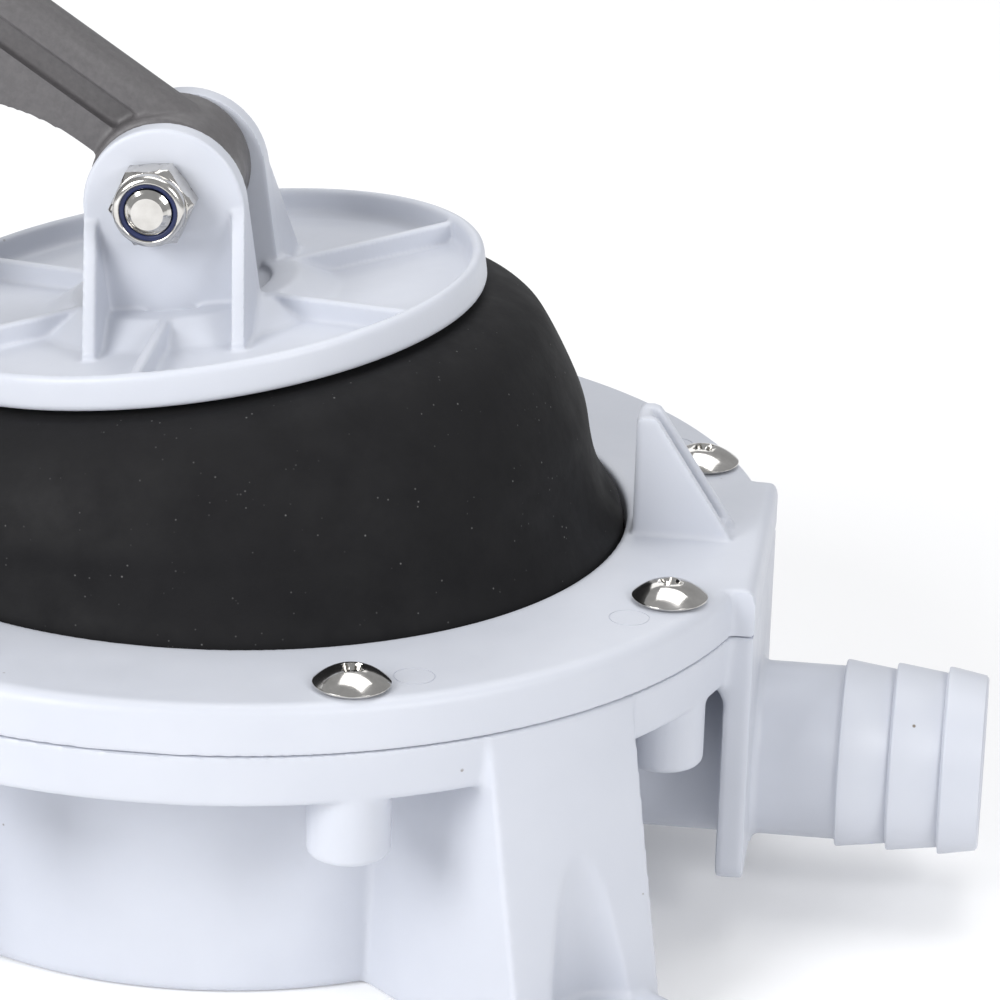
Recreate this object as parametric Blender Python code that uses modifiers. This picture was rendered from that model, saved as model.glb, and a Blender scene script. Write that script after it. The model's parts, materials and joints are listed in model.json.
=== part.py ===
"""Manual diaphragm bilge pump: bowl body with two hose tails, clamp ring, rubber diaphragm, lever and valves.

Metres, +Z up. The origin is the centre of the base, on the pump's vertical axis. +X is the outlet hose tail.
The lever is at the top of its stroke.
"""

import math

import bmesh
import bpy
from mathutils import Matrix, Vector

MM = 0.001
GAP = 0.3 * MM
ROUND = 80  # sides of the large turned shapes

# Flange stack
FLANGE_R = 95 * MM
FLANGE_BOTTOM = 48 * MM
PARTING_Z = 57.3 * MM
RING_TOP = 65.9 * MM
RING_INNER_R = 69.9 * MM
BEAD_OUTER_R = 80 * MM
BEAD_BOTTOM = 55.6 * MM
BEAD_TOP = 60.0 * MM
SIDE_PLATE_HALF = 27 * MM
SIDE_PLATE_X = (90.2 * MM, 95.1 * MM)
SIDE_PLATE_BOTTOM = 11.2 * MM

# Bowl
BOWL_R_BOTTOM = 64.7 * MM
BOWL_R_TOP = 66.0 * MM
BOWL_FLOOR = 3.6 * MM
CHAMBER_R_BOTTOM = 62.0 * MM
CHAMBER_R_TOP = 62.8 * MM

# Flange screws and their bosses
SCREW_COUNT = 8
SCREW_CIRCLE_R = 87.4 * MM
SCREW_FIRST_ANGLE = math.radians(22.5)
SCREW_SHANK_R = 2.3 * MM
SCREW_HOLE_R = 2.7 * MM
SCREW_HEAD_R = 6.5 * MM
SCREW_HEAD_HEIGHT = 3.2 * MM
BOSS_R = 6.95 * MM
BOSS_BOTTOM = 36.5 * MM
SCREW_TIP_Z = 39.5 * MM

# Legs and feet
LEG_ANGLES = [math.radians(45 + 90 * i) for i in range(4)]
LEG_HALF_WIDTH = 15.3 * MM
LEG_FOOT_R = 106.4 * MM
LEG_CORE = (70 * MM, 94 * MM)
LEG_CORE_TOP = 43 * MM
LEG_WALL = 3.3 * MM
FOOT_CENTRE_R = 108.5 * MM
FOOT_R = 15 * MM
FOOT_HEIGHT = 8 * MM
FOOT_HOLE_R = 2.75 * MM
SCREWDRIVER_R = 9 * MM

# Hose tails, for 32 mm hose
PORT_Z = 25.8 * MM
PORT_R = 15.4 * MM
PORT_BORE_R = 12.6 * MM
BARB_R = 16.6 * MM
BARB_STARTS = (110.0 * MM, 119.0 * MM, 128.1 * MM)
PORT_END = 135.2 * MM
PORT_INNER_X = 58 * MM

# Flap valves: distance of each seat's inlet side from the pump's axis
SEAT_X = {"inlet": -92 * MM, "outlet": 70 * MM}
SEAT_R = 12.3 * MM
SEAT_OPENING_R = 8.5 * MM
SEAT_THICKNESS = 3 * MM
FLAP_R = 10.2 * MM
FLAP_THICKNESS = 1.6 * MM
FLAP_PIN_R = 0.8 * MM
FLAP_PIN_HOLE_R = 1.15 * MM
FLAP_PIN_RISE = 9.8 * MM
FLAP_PIN_HALF = 6.2 * MM
FLAP_KNUCKLE_HALF = 3.2 * MM
FLAP_KNUCKLE_R = 1.9 * MM
FLAP_KNUCKLE_ROOM = 0.1 * MM
FLAP_DROP = 1.2 * MM

# Lever geometry: the clevis pin and the fulcrum, both along Y
PIN = Vector((-11.4 * MM, 0, 124.4 * MM))
FULCRUM = Vector((-84.5 * MM, 0, 84 * MM))
ARM_RISE = math.radians(33.65)
ARM_HALF_DEPTH = 6 * MM
ARM_TOP = 12.6 * MM
ARM_BOTTOM = -2.6 * MM
GROOVE = (3.0 * MM, 7.3 * MM)
GROOVE_DEPTH = 2.5 * MM
LEVER_BOSS_R = 12.8 * MM
FULCRUM_BOSS_R = 11 * MM
BOSS_HALF_LENGTH = 8.5 * MM
BUSH_R = 5.6 * MM
BUSH_BORE_R = 4.3 * MM
SOCKET_R = 14.5 * MM
SOCKET_BORE_R = 11.2 * MM
SOCKET_SPAN = (50 * MM, 110 * MM)
SOCKET_BORE_START = 60 * MM
HANDLE_RISE = -1.9 * MM
TUBE_R = 10.9 * MM
TUBE_INNER_R = 9.4 * MM
TUBE_SPAN = (61 * MM, 300 * MM)
GRIP_R = 14 * MM
GRIP_SPAN = (192 * MM, 306 * MM)
LOCK_SCREW_U = 86 * MM

# Diaphragm plate, in its own tilted frame with z = 0 at the top of its rim
PLATE_TILT = math.radians(8.23)
PIN_ABOVE_RIM = 18.46 * MM
RIM_R = 52.4 * MM
RIM_INNER_R = 50.1 * MM
RIM_HEIGHT = 6.3 * MM
DISH_FLOOR = -4.8 * MM
DISH_BOTTOM = -7.0 * MM
DISH_BOTTOM_R = 48.0 * MM
RIB_TOP = -0.9 * MM
RIB_WIDTH = 2.0 * MM
HUB_R = 20 * MM
HUB_SKIRT_R = 26.5 * MM
HUB_TOP = -1.0 * MM
HUB_RECESS_R = 15 * MM
HUB_RECESS_FLOOR = -2.2 * MM
EAR_HALF_WIDTH = 14.0 * MM
EAR_SHIFT = 0.9 * MM
EAR_DROP = 1.8 * MM
EAR_INNER_Y = 9.1 * MM
EAR_OUTER_Y = 13.5 * MM
GUSSET_THICKNESS = 2.4 * MM
GUSSET_REACH = 29 * MM
GUSSET_TOP = 16.4 * MM
PIN_HOLE_R = 4.35 * MM

# M8 hardware
M8_R = 4.0 * MM
M8_FLATS = 13 * MM
M8_HEAD = 5.3 * MM
M8_NUT = 8.0 * MM
M8_NUT_HEX = 5.6 * MM
M8_COLLAR_R = 6.3 * MM
INSERT_R = 5.3 * MM

# Diaphragm and the plate below it
RUBBER = 2.5 * MM
LOWER_PLATE_R = 45 * MM
LOWER_PLATE_THICKNESS = 3 * MM

# Fulcrum lugs and the stop bracket on the clamp ring
LUG_R = 10.5 * MM
LUG_INNER_Y = 9.2 * MM
LUG_OUTER_Y = 13.8 * MM
BRACKET_X = (71.5 * MM, 88.5 * MM)
BRACKET_HEIGHT = 21.6 * MM
BRACKET_WALL = 2.4 * MM
BRACKET_TIP = 3.4 * MM
BRACKET_HALF = 4.3 * MM
BRACKET_FIN = 2.2 * MM

MATERIALS = {
    "grey_plastic": ((0.64, 0.66, 0.72), 0.42, 0.0),
    "dark_plastic": ((0.17, 0.165, 0.17), 0.5, 0.0),
    "rubber": ((0.02, 0.02, 0.022), 0.85, 0.0),
    "steel": ((0.72, 0.71, 0.68), 0.18, 1.0),
    "nylon_blue": ((0.02, 0.03, 0.12), 0.5, 0.0),
    "brass": ((0.7, 0.5, 0.22), 0.3, 1.0),
    "aluminium": ((0.75, 0.76, 0.77), 0.3, 1.0),
    "black_grip": ((0.03, 0.03, 0.03), 0.7, 0.0),
    "black_plastic": ((0.05, 0.05, 0.055), 0.5, 0.0),
}

PLATE_NORMAL = Vector((-math.sin(PLATE_TILT), 0, math.cos(PLATE_TILT)))
PLATE_CENTRE = PIN - PLATE_NORMAL * PIN_ABOVE_RIM
PLATE_FRAME = Matrix.Translation(PLATE_CENTRE) @ Matrix.Rotation(-PLATE_TILT, 4, "Y")
# Lever frame: local X runs along the arm from the clevis pin, local Z is the arm's top side.
LEVER_FRAME = Matrix.Translation(PIN) @ Matrix(
    (
        (-math.cos(ARM_RISE), 0, math.sin(ARM_RISE), 0),
        (0, -1, 0, 0),
        (math.sin(ARM_RISE), 0, math.cos(ARM_RISE), 0),
        (0, 0, 0, 1),
    )
)
WORLD = Matrix.Identity(4)


# ---------------------------------------------------------------- helpers


def clear_scene():
    for old in list(bpy.data.objects):
        bpy.data.objects.remove(old, do_unlink=True)


def new_collection(name):
    collection = bpy.data.collections.new(name)
    bpy.context.scene.collection.children.link(collection)
    return collection


def make_materials():
    made = {}
    for name, (colour, roughness, metallic) in MATERIALS.items():
        material = bpy.data.materials.new(name)
        material.use_nodes = True
        shader = material.node_tree.nodes["Principled BSDF"]
        shader.inputs["Base Color"].default_value = (*colour, 1)
        shader.inputs["Roughness"].default_value = roughness
        shader.inputs["Metallic"].default_value = metallic
        made[name] = material
    return made


def object_from(name, bm, frame=WORLD):
    mesh = bpy.data.meshes.new(name)
    bm.to_mesh(mesh)
    bm.free()
    obj = bpy.data.objects.new(name, mesh)
    obj.matrix_world = frame
    PARTS.objects.link(obj)
    return obj


def cylinder(name, radius, low, high, segments=24, frame=WORLD, at=(0, 0), top_radius=None):
    """Cylinder or cone along the frame's Z from low to high."""
    bm = bmesh.new()
    top_radius = radius if top_radius is None else top_radius
    middle = Matrix.Translation((*at, (low + high) / 2))
    bmesh.ops.create_cone(
        bm, cap_ends=True, segments=segments, radius1=radius, radius2=top_radius,
        depth=high - low, matrix=middle,
    )
    return object_from(name, bm, frame)


def along_y(centre):
    """Frame at centre whose Z is the world's -Y."""
    return Matrix.Translation(centre) @ Matrix.Rotation(math.pi / 2, 4, "X")


def along_x(centre):
    """Frame at centre whose Z is the world's +X."""
    return Matrix.Translation(centre) @ Matrix.Rotation(math.pi / 2, 4, "Y")


def box(name, low, high, frame=WORLD):
    bm = bmesh.new()
    size = [b - a for a, b in zip(low, high)]
    middle = [(a + b) / 2 for a, b in zip(low, high)]
    bmesh.ops.create_cube(bm, size=1, matrix=Matrix.Translation(middle) @ Matrix.Diagonal((*size, 1)))
    return object_from(name, bm, frame)


def turned(name, profile, segments=48, frame=WORLD, closed=False):
    """Solid of revolution about the frame's Z. An open profile starts and ends on the axis."""
    mesh = bpy.data.meshes.new(name)
    count = len(profile)
    edges = [(i, i + 1) for i in range(count - 1)]
    if closed:
        edges.append((count - 1, 0))
    mesh.from_pydata([(r, 0, z) for r, z in profile], edges, [])
    obj = bpy.data.objects.new(name, mesh)
    obj.matrix_world = frame
    PARTS.objects.link(obj)
    screw = obj.modifiers.new("turn", "SCREW")
    screw.steps = screw.render_steps = segments
    screw.use_merge_vertices = True
    screw.merge_threshold = 0.00001
    screw.use_smooth_shade = True
    return obj


def outline(name, points, low, high, frame=WORLD):
    """Flat outline in the frame's XZ plane, from low to high along the frame's Y."""
    curve = bpy.data.curves.new(name, "CURVE")
    curve.dimensions = "2D"
    curve.fill_mode = "BOTH"
    curve.extrude = (high - low) / 2
    spline = curve.splines.new("POLY")
    spline.points.add(len(points) - 1)
    for point, (x, z) in zip(spline.points, points):
        point.co = (x, z, 0, 1)
    spline.use_cyclic_u = True
    stand = Matrix.Translation((0, (low + high) / 2, 0)) @ Matrix.Rotation(math.pi / 2, 4, "X")
    flat = bpy.data.objects.new(name + "_outline", curve)
    PARTS.objects.link(flat)
    mesh = bpy.data.meshes.new_from_object(flat.evaluated_get(bpy.context.evaluated_depsgraph_get()))
    bpy.data.objects.remove(flat, do_unlink=True)
    bm = bmesh.new()
    bm.from_mesh(mesh)
    bmesh.ops.remove_doubles(bm, verts=bm.verts, dist=0.000001)
    bmesh.ops.recalc_face_normals(bm, faces=bm.faces)
    bpy.data.meshes.remove(mesh)
    return object_from(name, bm, frame @ stand)


def arc(centre, radius, start, end, steps):
    """Points on a circle from start to end, in degrees."""
    angles = [math.radians(start + (end - start) * i / steps) for i in range(steps + 1)]
    return [(centre[0] + radius * math.cos(a), centre[1] + radius * math.sin(a)) for a in angles]


def combine(target, operation, tools):
    """Boolean the tools into the target. The tools become hidden helpers."""
    group = new_collection(f"{target.name}_{operation.lower()}")
    for tool in tools:
        PARTS.objects.unlink(tool)
        group.objects.link(tool)
        tool.hide_render = True
        tool.display_type = "WIRE"
    bpy.context.scene.collection.children.unlink(group)
    HELPERS.children.link(group)
    change = target.modifiers.new(operation.lower(), "BOOLEAN")
    change.operation = operation
    change.solver = "EXACT"
    change.operand_type = "COLLECTION"
    change.collection = group
    return target


def finish(obj, material, parent=None):
    """Give the object its material and, where it moves, its parent empty."""
    obj.data.materials.append(LOOKS[material])
    if parent:
        world = obj.matrix_world.copy()
        obj.parent = parent
        obj.matrix_parent_inverse = parent.matrix_world.inverted()
        obj.matrix_world = world
    return obj


def axis_empty(name, place):
    empty = bpy.data.objects.new(name, None)
    empty.empty_display_size = 0.02
    empty.matrix_world = Matrix.Translation(place)
    PARTS.objects.link(empty)
    return empty


def polar(radius, angle, z=0.0):
    return Vector((radius * math.cos(angle), radius * math.sin(angle), z))


def radial_frame(angle):
    return Matrix.Rotation(angle, 4, "Z")


def screw_angles():
    return [SCREW_FIRST_ANGLE + 2 * math.pi * i / SCREW_COUNT for i in range(SCREW_COUNT)]


# ---------------------------------------------------------------- body and ring


def leg(index, angle):
    """Leg that flares outwards towards its foot, hollow from below, with a screwdriver channel."""
    frame = radial_frame(angle)
    slab = box(
        f"leg_{index}",
        (55 * MM, -LEG_HALF_WIDTH, 0), (120 * MM, LEG_HALF_WIDTH, PARTING_Z - 0.1 * MM), frame,
    )
    cone = cylinder(
        f"leg_cone_{index}", LEG_FOOT_R, 0, PARTING_Z, ROUND, top_radius=FLANGE_R - 0.02 * MM
    )
    return combine(slab, "INTERSECT", [cone])


def port_profile():
    """Outer profile of a hose tail along its own Z, with saw-tooth barbs, ending on the axis."""
    points = [(0, PORT_END), (15.0 * MM, PORT_END)]
    ends = [PORT_END] + [start for start in reversed(BARB_STARTS)]
    for start, end in zip(reversed(BARB_STARTS), ends):
        points.append((15.5 * MM, end - 0.4 * MM))
        points.append((BARB_R, start + 0.3 * MM))
        points.append((BARB_R - 0.3 * MM, start))
        points.append((PORT_R, start))
    points += [(PORT_R, PORT_INNER_X), (0, PORT_INNER_X)]
    return points


def side_plate(name, side, low, high):
    """Flat plate across one side of the flange."""
    near, far = sorted((side * SIDE_PLATE_X[0], side * SIDE_PLATE_X[1]))
    return box(name, (near, -SIDE_PLATE_HALF, low), (far, SIDE_PLATE_HALF, high))


def make_pump_body():
    top = PARTING_Z - 0.15 * MM
    body = turned(
        "pump_body",
        [
            (0, top), (FLANGE_R, top), (94.3 * MM, FLANGE_BOTTOM), (BOWL_R_TOP, FLANGE_BOTTOM),
            (BOWL_R_BOTTOM + 0.1 * MM, 2 * MM), (BOWL_R_BOTTOM - 1.5 * MM, 0), (0, 0),
        ],
        ROUND,
    )
    added = []
    for i, angle in enumerate(LEG_ANGLES):
        added.append(leg(i, angle))
        x, y, _ = polar(FOOT_CENTRE_R, angle)
        added.append(cylinder(f"foot_{i}", FOOT_R, 0, FOOT_HEIGHT, 28, at=(x, y)))
    for i, angle in enumerate(screw_angles()):
        x, y, _ = polar(SCREW_CIRCLE_R, angle)
        added.append(cylinder(f"boss_{i}", BOSS_R, BOSS_BOTTOM, FLANGE_BOTTOM + 2 * MM, 18, at=(x, y)))
    for side in (-1, 1):
        turn = Matrix.Rotation(side * math.pi / 2, 4, "Y")
        added.append(turned(f"port_{side}", port_profile(), 32, Matrix.Translation((0, 0, PORT_Z)) @ turn))
        added.append(side_plate(f"body_plate_{side}", side, SIDE_PLATE_BOTTOM, top))
    combine(body, "UNION", added)

    cuts = [
        turned(
            "chamber",
            [
                (0, 70 * MM), (BEAD_OUTER_R, 70 * MM), (BEAD_OUTER_R, BEAD_BOTTOM),
                (CHAMBER_R_TOP, BEAD_BOTTOM),
                (CHAMBER_R_BOTTOM, BOWL_FLOOR + 3 * MM), (CHAMBER_R_BOTTOM - 3 * MM, BOWL_FLOOR),
                (0, BOWL_FLOOR),
            ],
            ROUND,
        )
    ]
    for side in (-1, 1):
        low, high = sorted((side * 45 * MM, side * (PORT_END + 5 * MM)))
        cuts.append(cylinder(f"bore_{side}", PORT_BORE_R, low, high, 28, along_x((0, 0, PORT_Z))))
    for i, angle in enumerate(LEG_ANGLES):
        x, y, _ = polar(FOOT_CENTRE_R, angle)
        inside = LEG_HALF_WIDTH - LEG_WALL
        core = box(
            f"leg_core_{i}", (LEG_CORE[0], -inside, -5 * MM), (LEG_CORE[1], inside, LEG_CORE_TOP),
            radial_frame(angle),
        )
        cuts.append(core)
        cuts.append(cylinder(f"foot_hole_{i}", FOOT_HOLE_R, -5 * MM, FOOT_HEIGHT + 2 * MM, 16, at=(x, y)))
        cuts.append(cylinder(f"driver_{i}", SCREWDRIVER_R, FOOT_HEIGHT, FLANGE_BOTTOM, 24, at=(x, y)))
    for i, angle in enumerate(screw_angles()):
        x, y, _ = polar(SCREW_CIRCLE_R, angle)
        cuts.append(cylinder(f"pilot_{i}", SCREW_HOLE_R, SCREW_TIP_Z - 1 * MM, 70 * MM, 12, at=(x, y)))
    combine(body, "DIFFERENCE", cuts)
    return finish(body, "grey_plastic")


def make_clamp_ring():
    bottom = PARTING_Z + 0.15 * MM
    edge = arc((FLANGE_R - 2 * MM, RING_TOP - 2 * MM), 2 * MM, 90, 0, 4)
    ring = turned(
        "clamp_ring",
        [(RING_INNER_R, BEAD_TOP), (RING_INNER_R, RING_TOP - 0.6 * MM), (RING_INNER_R + 0.6 * MM, RING_TOP)]
        + edge
        + [(FLANGE_R, bottom), (BEAD_OUTER_R, bottom), (BEAD_OUTER_R, BEAD_TOP)],
        ROUND, closed=True,
    )
    added = [side_plate(f"ring_plate_{side}", side, bottom, RING_TOP) for side in (-1, 1)]
    root = RING_TOP - 2 * MM
    tip = RING_TOP + BRACKET_HEIGHT
    inner, outer = BRACKET_X
    slope = [(inner + BRACKET_TIP, tip), (outer, RING_TOP + 0.8 * MM), (outer, root)]
    fin = [(inner, root), (inner, tip)] + slope
    for side in (-1, 1):
        low, high = sorted((side * BRACKET_HALF, side * (BRACKET_HALF - BRACKET_FIN)))
        added.append(outline(f"bracket_fin_{side}", fin, low, high))
    added.append(box("bracket_wall", (inner, -3 * MM, root), (inner + BRACKET_WALL, 3 * MM, tip - 0.2 * MM)))
    lug = arc((FULCRUM.x, FULCRUM.z), LUG_R, 0, 180, 14)
    lug += [(FULCRUM.x - LUG_R, root), (FULCRUM.x + LUG_R, root)]
    for side in (-1, 1):
        low, high = sorted((side * LUG_INNER_Y, side * LUG_OUTER_Y))
        added.append(outline(f"lug_{side}", lug, low, high))
        added.append(lug_web(f"lug_web_{side}", side, root))
    combine(ring, "UNION", added)
    cuts = [cylinder("fulcrum_hole", PIN_HOLE_R, -30 * MM, 30 * MM, 20, along_y(FULCRUM))]
    for i, angle in enumerate(screw_angles()):
        x, y, _ = polar(SCREW_CIRCLE_R, angle)
        cuts.append(cylinder(f"ring_hole_{i}", SCREW_HOLE_R, 50 * MM, 70 * MM, 12, at=(x, y)))
    combine(ring, "DIFFERENCE", cuts)
    return finish(ring, "grey_plastic")


def lug_web(name, side, root):
    """Triangular web that braces a lug sideways."""
    reach = side * (LUG_OUTER_Y + 9 * MM)
    inner = side * (LUG_OUTER_Y - 0.5 * MM)
    points = [(inner, root), (reach, root), (reach, RING_TOP + 0.8 * MM), (inner, RING_TOP + 13 * MM)]
    turn = Matrix.Rotation(math.pi / 2, 4, "Z")
    place = Matrix.Translation((FULCRUM.x + LUG_R - 3 * MM, 0, 0))
    return outline(name, points, 0, 2.4 * MM, place @ turn)


def make_flange_screws():
    """Truss-head screws: domed head with a cross recess, plain shank."""
    seat = RING_TOP + GAP
    for i, angle in enumerate(screw_angles()):
        place = Matrix.Translation(polar(SCREW_CIRCLE_R, angle))
        dome = [(0, seat + SCREW_HEAD_HEIGHT)]
        dome += [
            (SCREW_HEAD_R * s, seat + SCREW_HEAD_HEIGHT * (1 - s * s) + 0.4 * MM * s)
            for s in (0.35, 0.65, 0.88)
        ]
        dome += [(SCREW_HEAD_R, seat + 0.35 * MM), (SCREW_HEAD_R - 0.3 * MM, seat), (SCREW_SHANK_R, seat)]
        dome += [(SCREW_SHANK_R, SCREW_TIP_Z + 2 * MM), (0, SCREW_TIP_Z)]
        screw = turned(f"flange_screw_{i + 1}", dome, 16, place)
        slots = []
        for turn in (0.3, 0.3 + math.pi / 2):
            spin = place @ Matrix.Rotation(angle + turn, 4, "Z")
            low = (-2.6 * MM, -0.55 * MM, seat + SCREW_HEAD_HEIGHT - 1.9 * MM)
            slots.append(box(f"recess_{i}_{turn:.1f}", low, (2.6 * MM, 0.55 * MM, seat + 6 * MM), spin))
        combine(screw, "DIFFERENCE", slots)
        finish(screw, "steel")


# ---------------------------------------------------------------- diaphragm and its plates


def tilted_ring(radius, centre_x, centre_z, tilt, segments):
    """Circle of points about a centre on the XZ plane, tilted about Y."""
    spin = Matrix.Rotation(-tilt, 4, "Y")
    centre = Vector((centre_x, 0, centre_z))
    return [centre + spin @ polar(radius, 2 * math.pi * k / segments) for k in range(segments)]


def plate_ring(radius, height, segments):
    centre = PLATE_FRAME @ Vector((0, 0, height))
    return tilted_ring(radius, centre.x, centre.z, PLATE_TILT, segments)


def make_diaphragm(parent):
    """Rubber sleeve lofted from the level clamp ring to the tilted plate, with a flat centre."""
    segments = 48
    seat = BEAD_BOTTOM + GAP
    under = DISH_BOTTOM - GAP
    sleeve = [
        (69.3, 0.0, 62.0, 0.0), (69.2, -0.1, 65.6, 0.0), (67.7, -1.5, 69.8, 1.2),
        (66.4, -2.7, 75.5, 3.2), (65.8, -4.3, 81.0, 5.1),
    ]
    crown = [(62.5, -17.0), (59.8, -12.2), (55.5, -8.7), (50.2, -7.3)]
    rings = [tilted_ring(BEAD_OUTER_R - GAP, 0, z, 0, segments) for z in (seat, BEAD_TOP - GAP)]
    rings.append(tilted_ring(69.5 * MM, 0, BEAD_TOP - GAP, 0, segments))
    for radius, x, z, tilt in sleeve:
        rings.append(tilted_ring(radius * MM, x * MM, z * MM, math.radians(tilt), segments))
    rings += [plate_ring(radius * MM, height * MM, segments) for radius, height in crown]
    rings += [plate_ring(5.0 * MM, under, segments), plate_ring(5.0 * MM, under - RUBBER, segments)]
    inner_crown = [(49.8, -9.8), (54.0, -11.1), (57.6, -13.8), (60.0, -17.8)]
    rings += [plate_ring(radius * MM, height * MM, segments) for radius, height in inner_crown]
    for radius, x, z, tilt in reversed(sleeve):
        rings.append(tilted_ring(radius * MM - RUBBER, x * MM, z * MM, math.radians(tilt), segments))
    rings.append(tilted_ring(67.0 * MM, 0, seat + 0.5 * MM, 0, segments))
    bm = bmesh.new()
    loops = [[bm.verts.new(point) for point in ring] for ring in rings]
    for a, b in zip(loops, loops[1:] + loops[:1]):
        for k in range(segments):
            after = (k + 1) % segments
            bm.faces.new((a[k], a[after], b[after], b[k]))
    bmesh.ops.recalc_face_normals(bm, faces=bm.faces)
    return finish(object_from("diaphragm", bm), "rubber", parent)


def make_diaphragm_plate(parent):
    plate = turned(
        "diaphragm_plate",
        [
            (0, HUB_RECESS_FLOOR), (HUB_RECESS_R, HUB_RECESS_FLOOR), (HUB_RECESS_R, HUB_TOP),
            (HUB_R, HUB_TOP),
            (HUB_SKIRT_R, DISH_FLOOR), (RIM_INNER_R - 0.8 * MM, DISH_FLOOR),
            (RIM_INNER_R, DISH_FLOOR + 0.8 * MM),
            (RIM_INNER_R + 0.3 * MM, -0.6 * MM), (RIM_INNER_R + 1.0 * MM, 0), (RIM_R - 0.7 * MM, -0.2 * MM),
            (RIM_R, -1.2 * MM), (RIM_R, -RIM_HEIGHT + 1.2 * MM), (RIM_R - 1.0 * MM, -RIM_HEIGHT),
            (DISH_BOTTOM_R, -RIM_HEIGHT), (DISH_BOTTOM_R, DISH_BOTTOM), (0, DISH_BOTTOM),
        ],
        48, PLATE_FRAME,
    )
    low = DISH_FLOOR - 1 * MM
    added = []
    for i in range(6):
        spin = PLATE_FRAME @ Matrix.Rotation(math.radians(30 + 60 * i), 4, "Z")
        added.append(
            box(
                f"rib_{i}", (18 * MM, -RIB_WIDTH / 2, low), (RIM_INNER_R + 0.4 * MM, RIB_WIDTH / 2, RIB_TOP),
                spin,
            )
        )
    ear = arc((EAR_SHIFT, PIN_ABOVE_RIM - EAR_DROP), EAR_HALF_WIDTH, 0, 180, 20)
    ear += [(EAR_SHIFT - EAR_HALF_WIDTH, low), (EAR_SHIFT + EAR_HALF_WIDTH, low)]
    for side in (-1, 1):
        near, far = sorted((side * EAR_INNER_Y, side * EAR_OUTER_Y))
        added.append(outline(f"ear_{side}", ear, near, far, PLATE_FRAME))
        for edge in (-1, 1):
            added.append(gusset(f"gusset_{side}_{edge}", side, edge, low))
    combine(plate, "UNION", added)
    cuts = [
        cylinder("pin_hole", PIN_HOLE_R, -30 * MM, 30 * MM, 20, along_y(PIN)),
        cylinder("centre_hole", PIN_HOLE_R, -20 * MM, 5 * MM, 16, PLATE_FRAME),
    ]
    combine(plate, "DIFFERENCE", cuts)
    return finish(plate, "grey_plastic", parent)


def gusset(name, side, edge, low):
    """Triangular web at an ear's side edge, reaching out over the dish."""
    inner = side * (EAR_OUTER_Y - 0.5 * MM)
    reach = side * GUSSET_REACH
    points = [(inner, low), (reach, low), (reach, DISH_FLOOR + 1.5 * MM), (inner, GUSSET_TOP)]
    # It stands a little proud of the ear's edge, so the two faces aren't in one plane.
    far = EAR_HALF_WIDTH + 0.15 * MM
    low_x, high_x = sorted((EAR_SHIFT + edge * (far - GUSSET_THICKNESS), EAR_SHIFT + edge * far))
    turn = PLATE_FRAME @ Matrix.Rotation(math.pi / 2, 4, "Z")
    return outline(name, points, -high_x, -low_x, turn)


def make_lower_clamp_plate(parent):
    top = DISH_BOTTOM - RUBBER - 2 * GAP
    bottom = top - LOWER_PLATE_THICKNESS
    plate = turned(
        "lower_clamp_plate",
        [
            (4.5 * MM, top), (LOWER_PLATE_R - 1 * MM, top), (LOWER_PLATE_R, top - 1 * MM),
            (LOWER_PLATE_R - 1.5 * MM, bottom), (4.5 * MM, bottom),
        ],
        48, PLATE_FRAME, closed=True,
    )
    return finish(plate, "black_plastic", parent), bottom


# ---------------------------------------------------------------- fasteners


def hexagon(name, across_flats, low, high, frame, turn=0.0):
    spin = frame @ Matrix.Rotation(turn, 4, "Z")
    return cylinder(name, across_flats / math.sqrt(3), low, high, 6, spin)


def make_bolt(name, frame, head_side, tip, parent=None, turn=0.0):
    """M8 bolt along the frame's Z. Its head starts at head_side and the shank runs down to tip."""
    bolt = cylinder(name, M8_R, tip, head_side + 1 * MM, 20, frame)
    head = hexagon(name + "_head", M8_FLATS, head_side, head_side + M8_HEAD, frame, turn)
    combine(bolt, "UNION", [head])
    return finish(bolt, "steel", parent)


def make_nylock(name, frame, seat, parent=None, turn=0.0):
    """Nut below seat along the frame's Z, with a round collar that holds a nylon ring."""
    nut = hexagon(name, M8_FLATS, seat - M8_NUT_HEX, seat, frame, turn)
    collar = cylinder(name + "_collar", M8_COLLAR_R, seat - M8_NUT, seat - M8_NUT_HEX + 1 * MM, 24, frame)
    combine(nut, "UNION", [collar])
    hole = cylinder(name + "_hole", M8_R + GAP, seat - 20 * MM, seat + 5 * MM, 20, frame)
    room = cylinder(name + "_room", INSERT_R + GAP, seat - 20 * MM, seat - M8_NUT_HEX + 0.4 * MM, 24, frame)
    combine(nut, "DIFFERENCE", [hole, room])
    finish(nut, "steel", parent)
    insert = turned(
        name + "_insert",
        [
            (M8_R + GAP, seat - M8_NUT_HEX), (INSERT_R, seat - M8_NUT_HEX),
            (INSERT_R, seat - M8_NUT + 0.4 * MM), (M8_R + GAP, seat - M8_NUT + 0.4 * MM),
        ],
        24, frame, closed=True,
    )
    finish(insert, "nylon_blue", parent)


def make_clevis_hardware(parent):
    frame = along_y(PIN).copy()
    seat = EAR_OUTER_Y + GAP
    # The frame's Z points to -Y, where the nut is, so bolt and nut are built on the reversed frame.
    reversed_frame = frame @ Matrix.Rotation(math.pi, 4, "X")
    make_bolt("clevis_bolt", reversed_frame, seat, -(seat + M8_NUT + 0.9 * MM), parent, math.radians(10))
    make_nylock("clevis_nut", reversed_frame, -seat, parent, math.radians(23))


def make_fulcrum_hardware():
    reversed_frame = along_y(FULCRUM) @ Matrix.Rotation(math.pi, 4, "X")
    seat = LUG_OUTER_Y + GAP
    make_bolt("fulcrum_bolt", reversed_frame, seat, -(seat + M8_NUT + 0.9 * MM), None, math.radians(4))
    make_nylock("fulcrum_nut", reversed_frame, -seat, None, math.radians(17))


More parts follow.
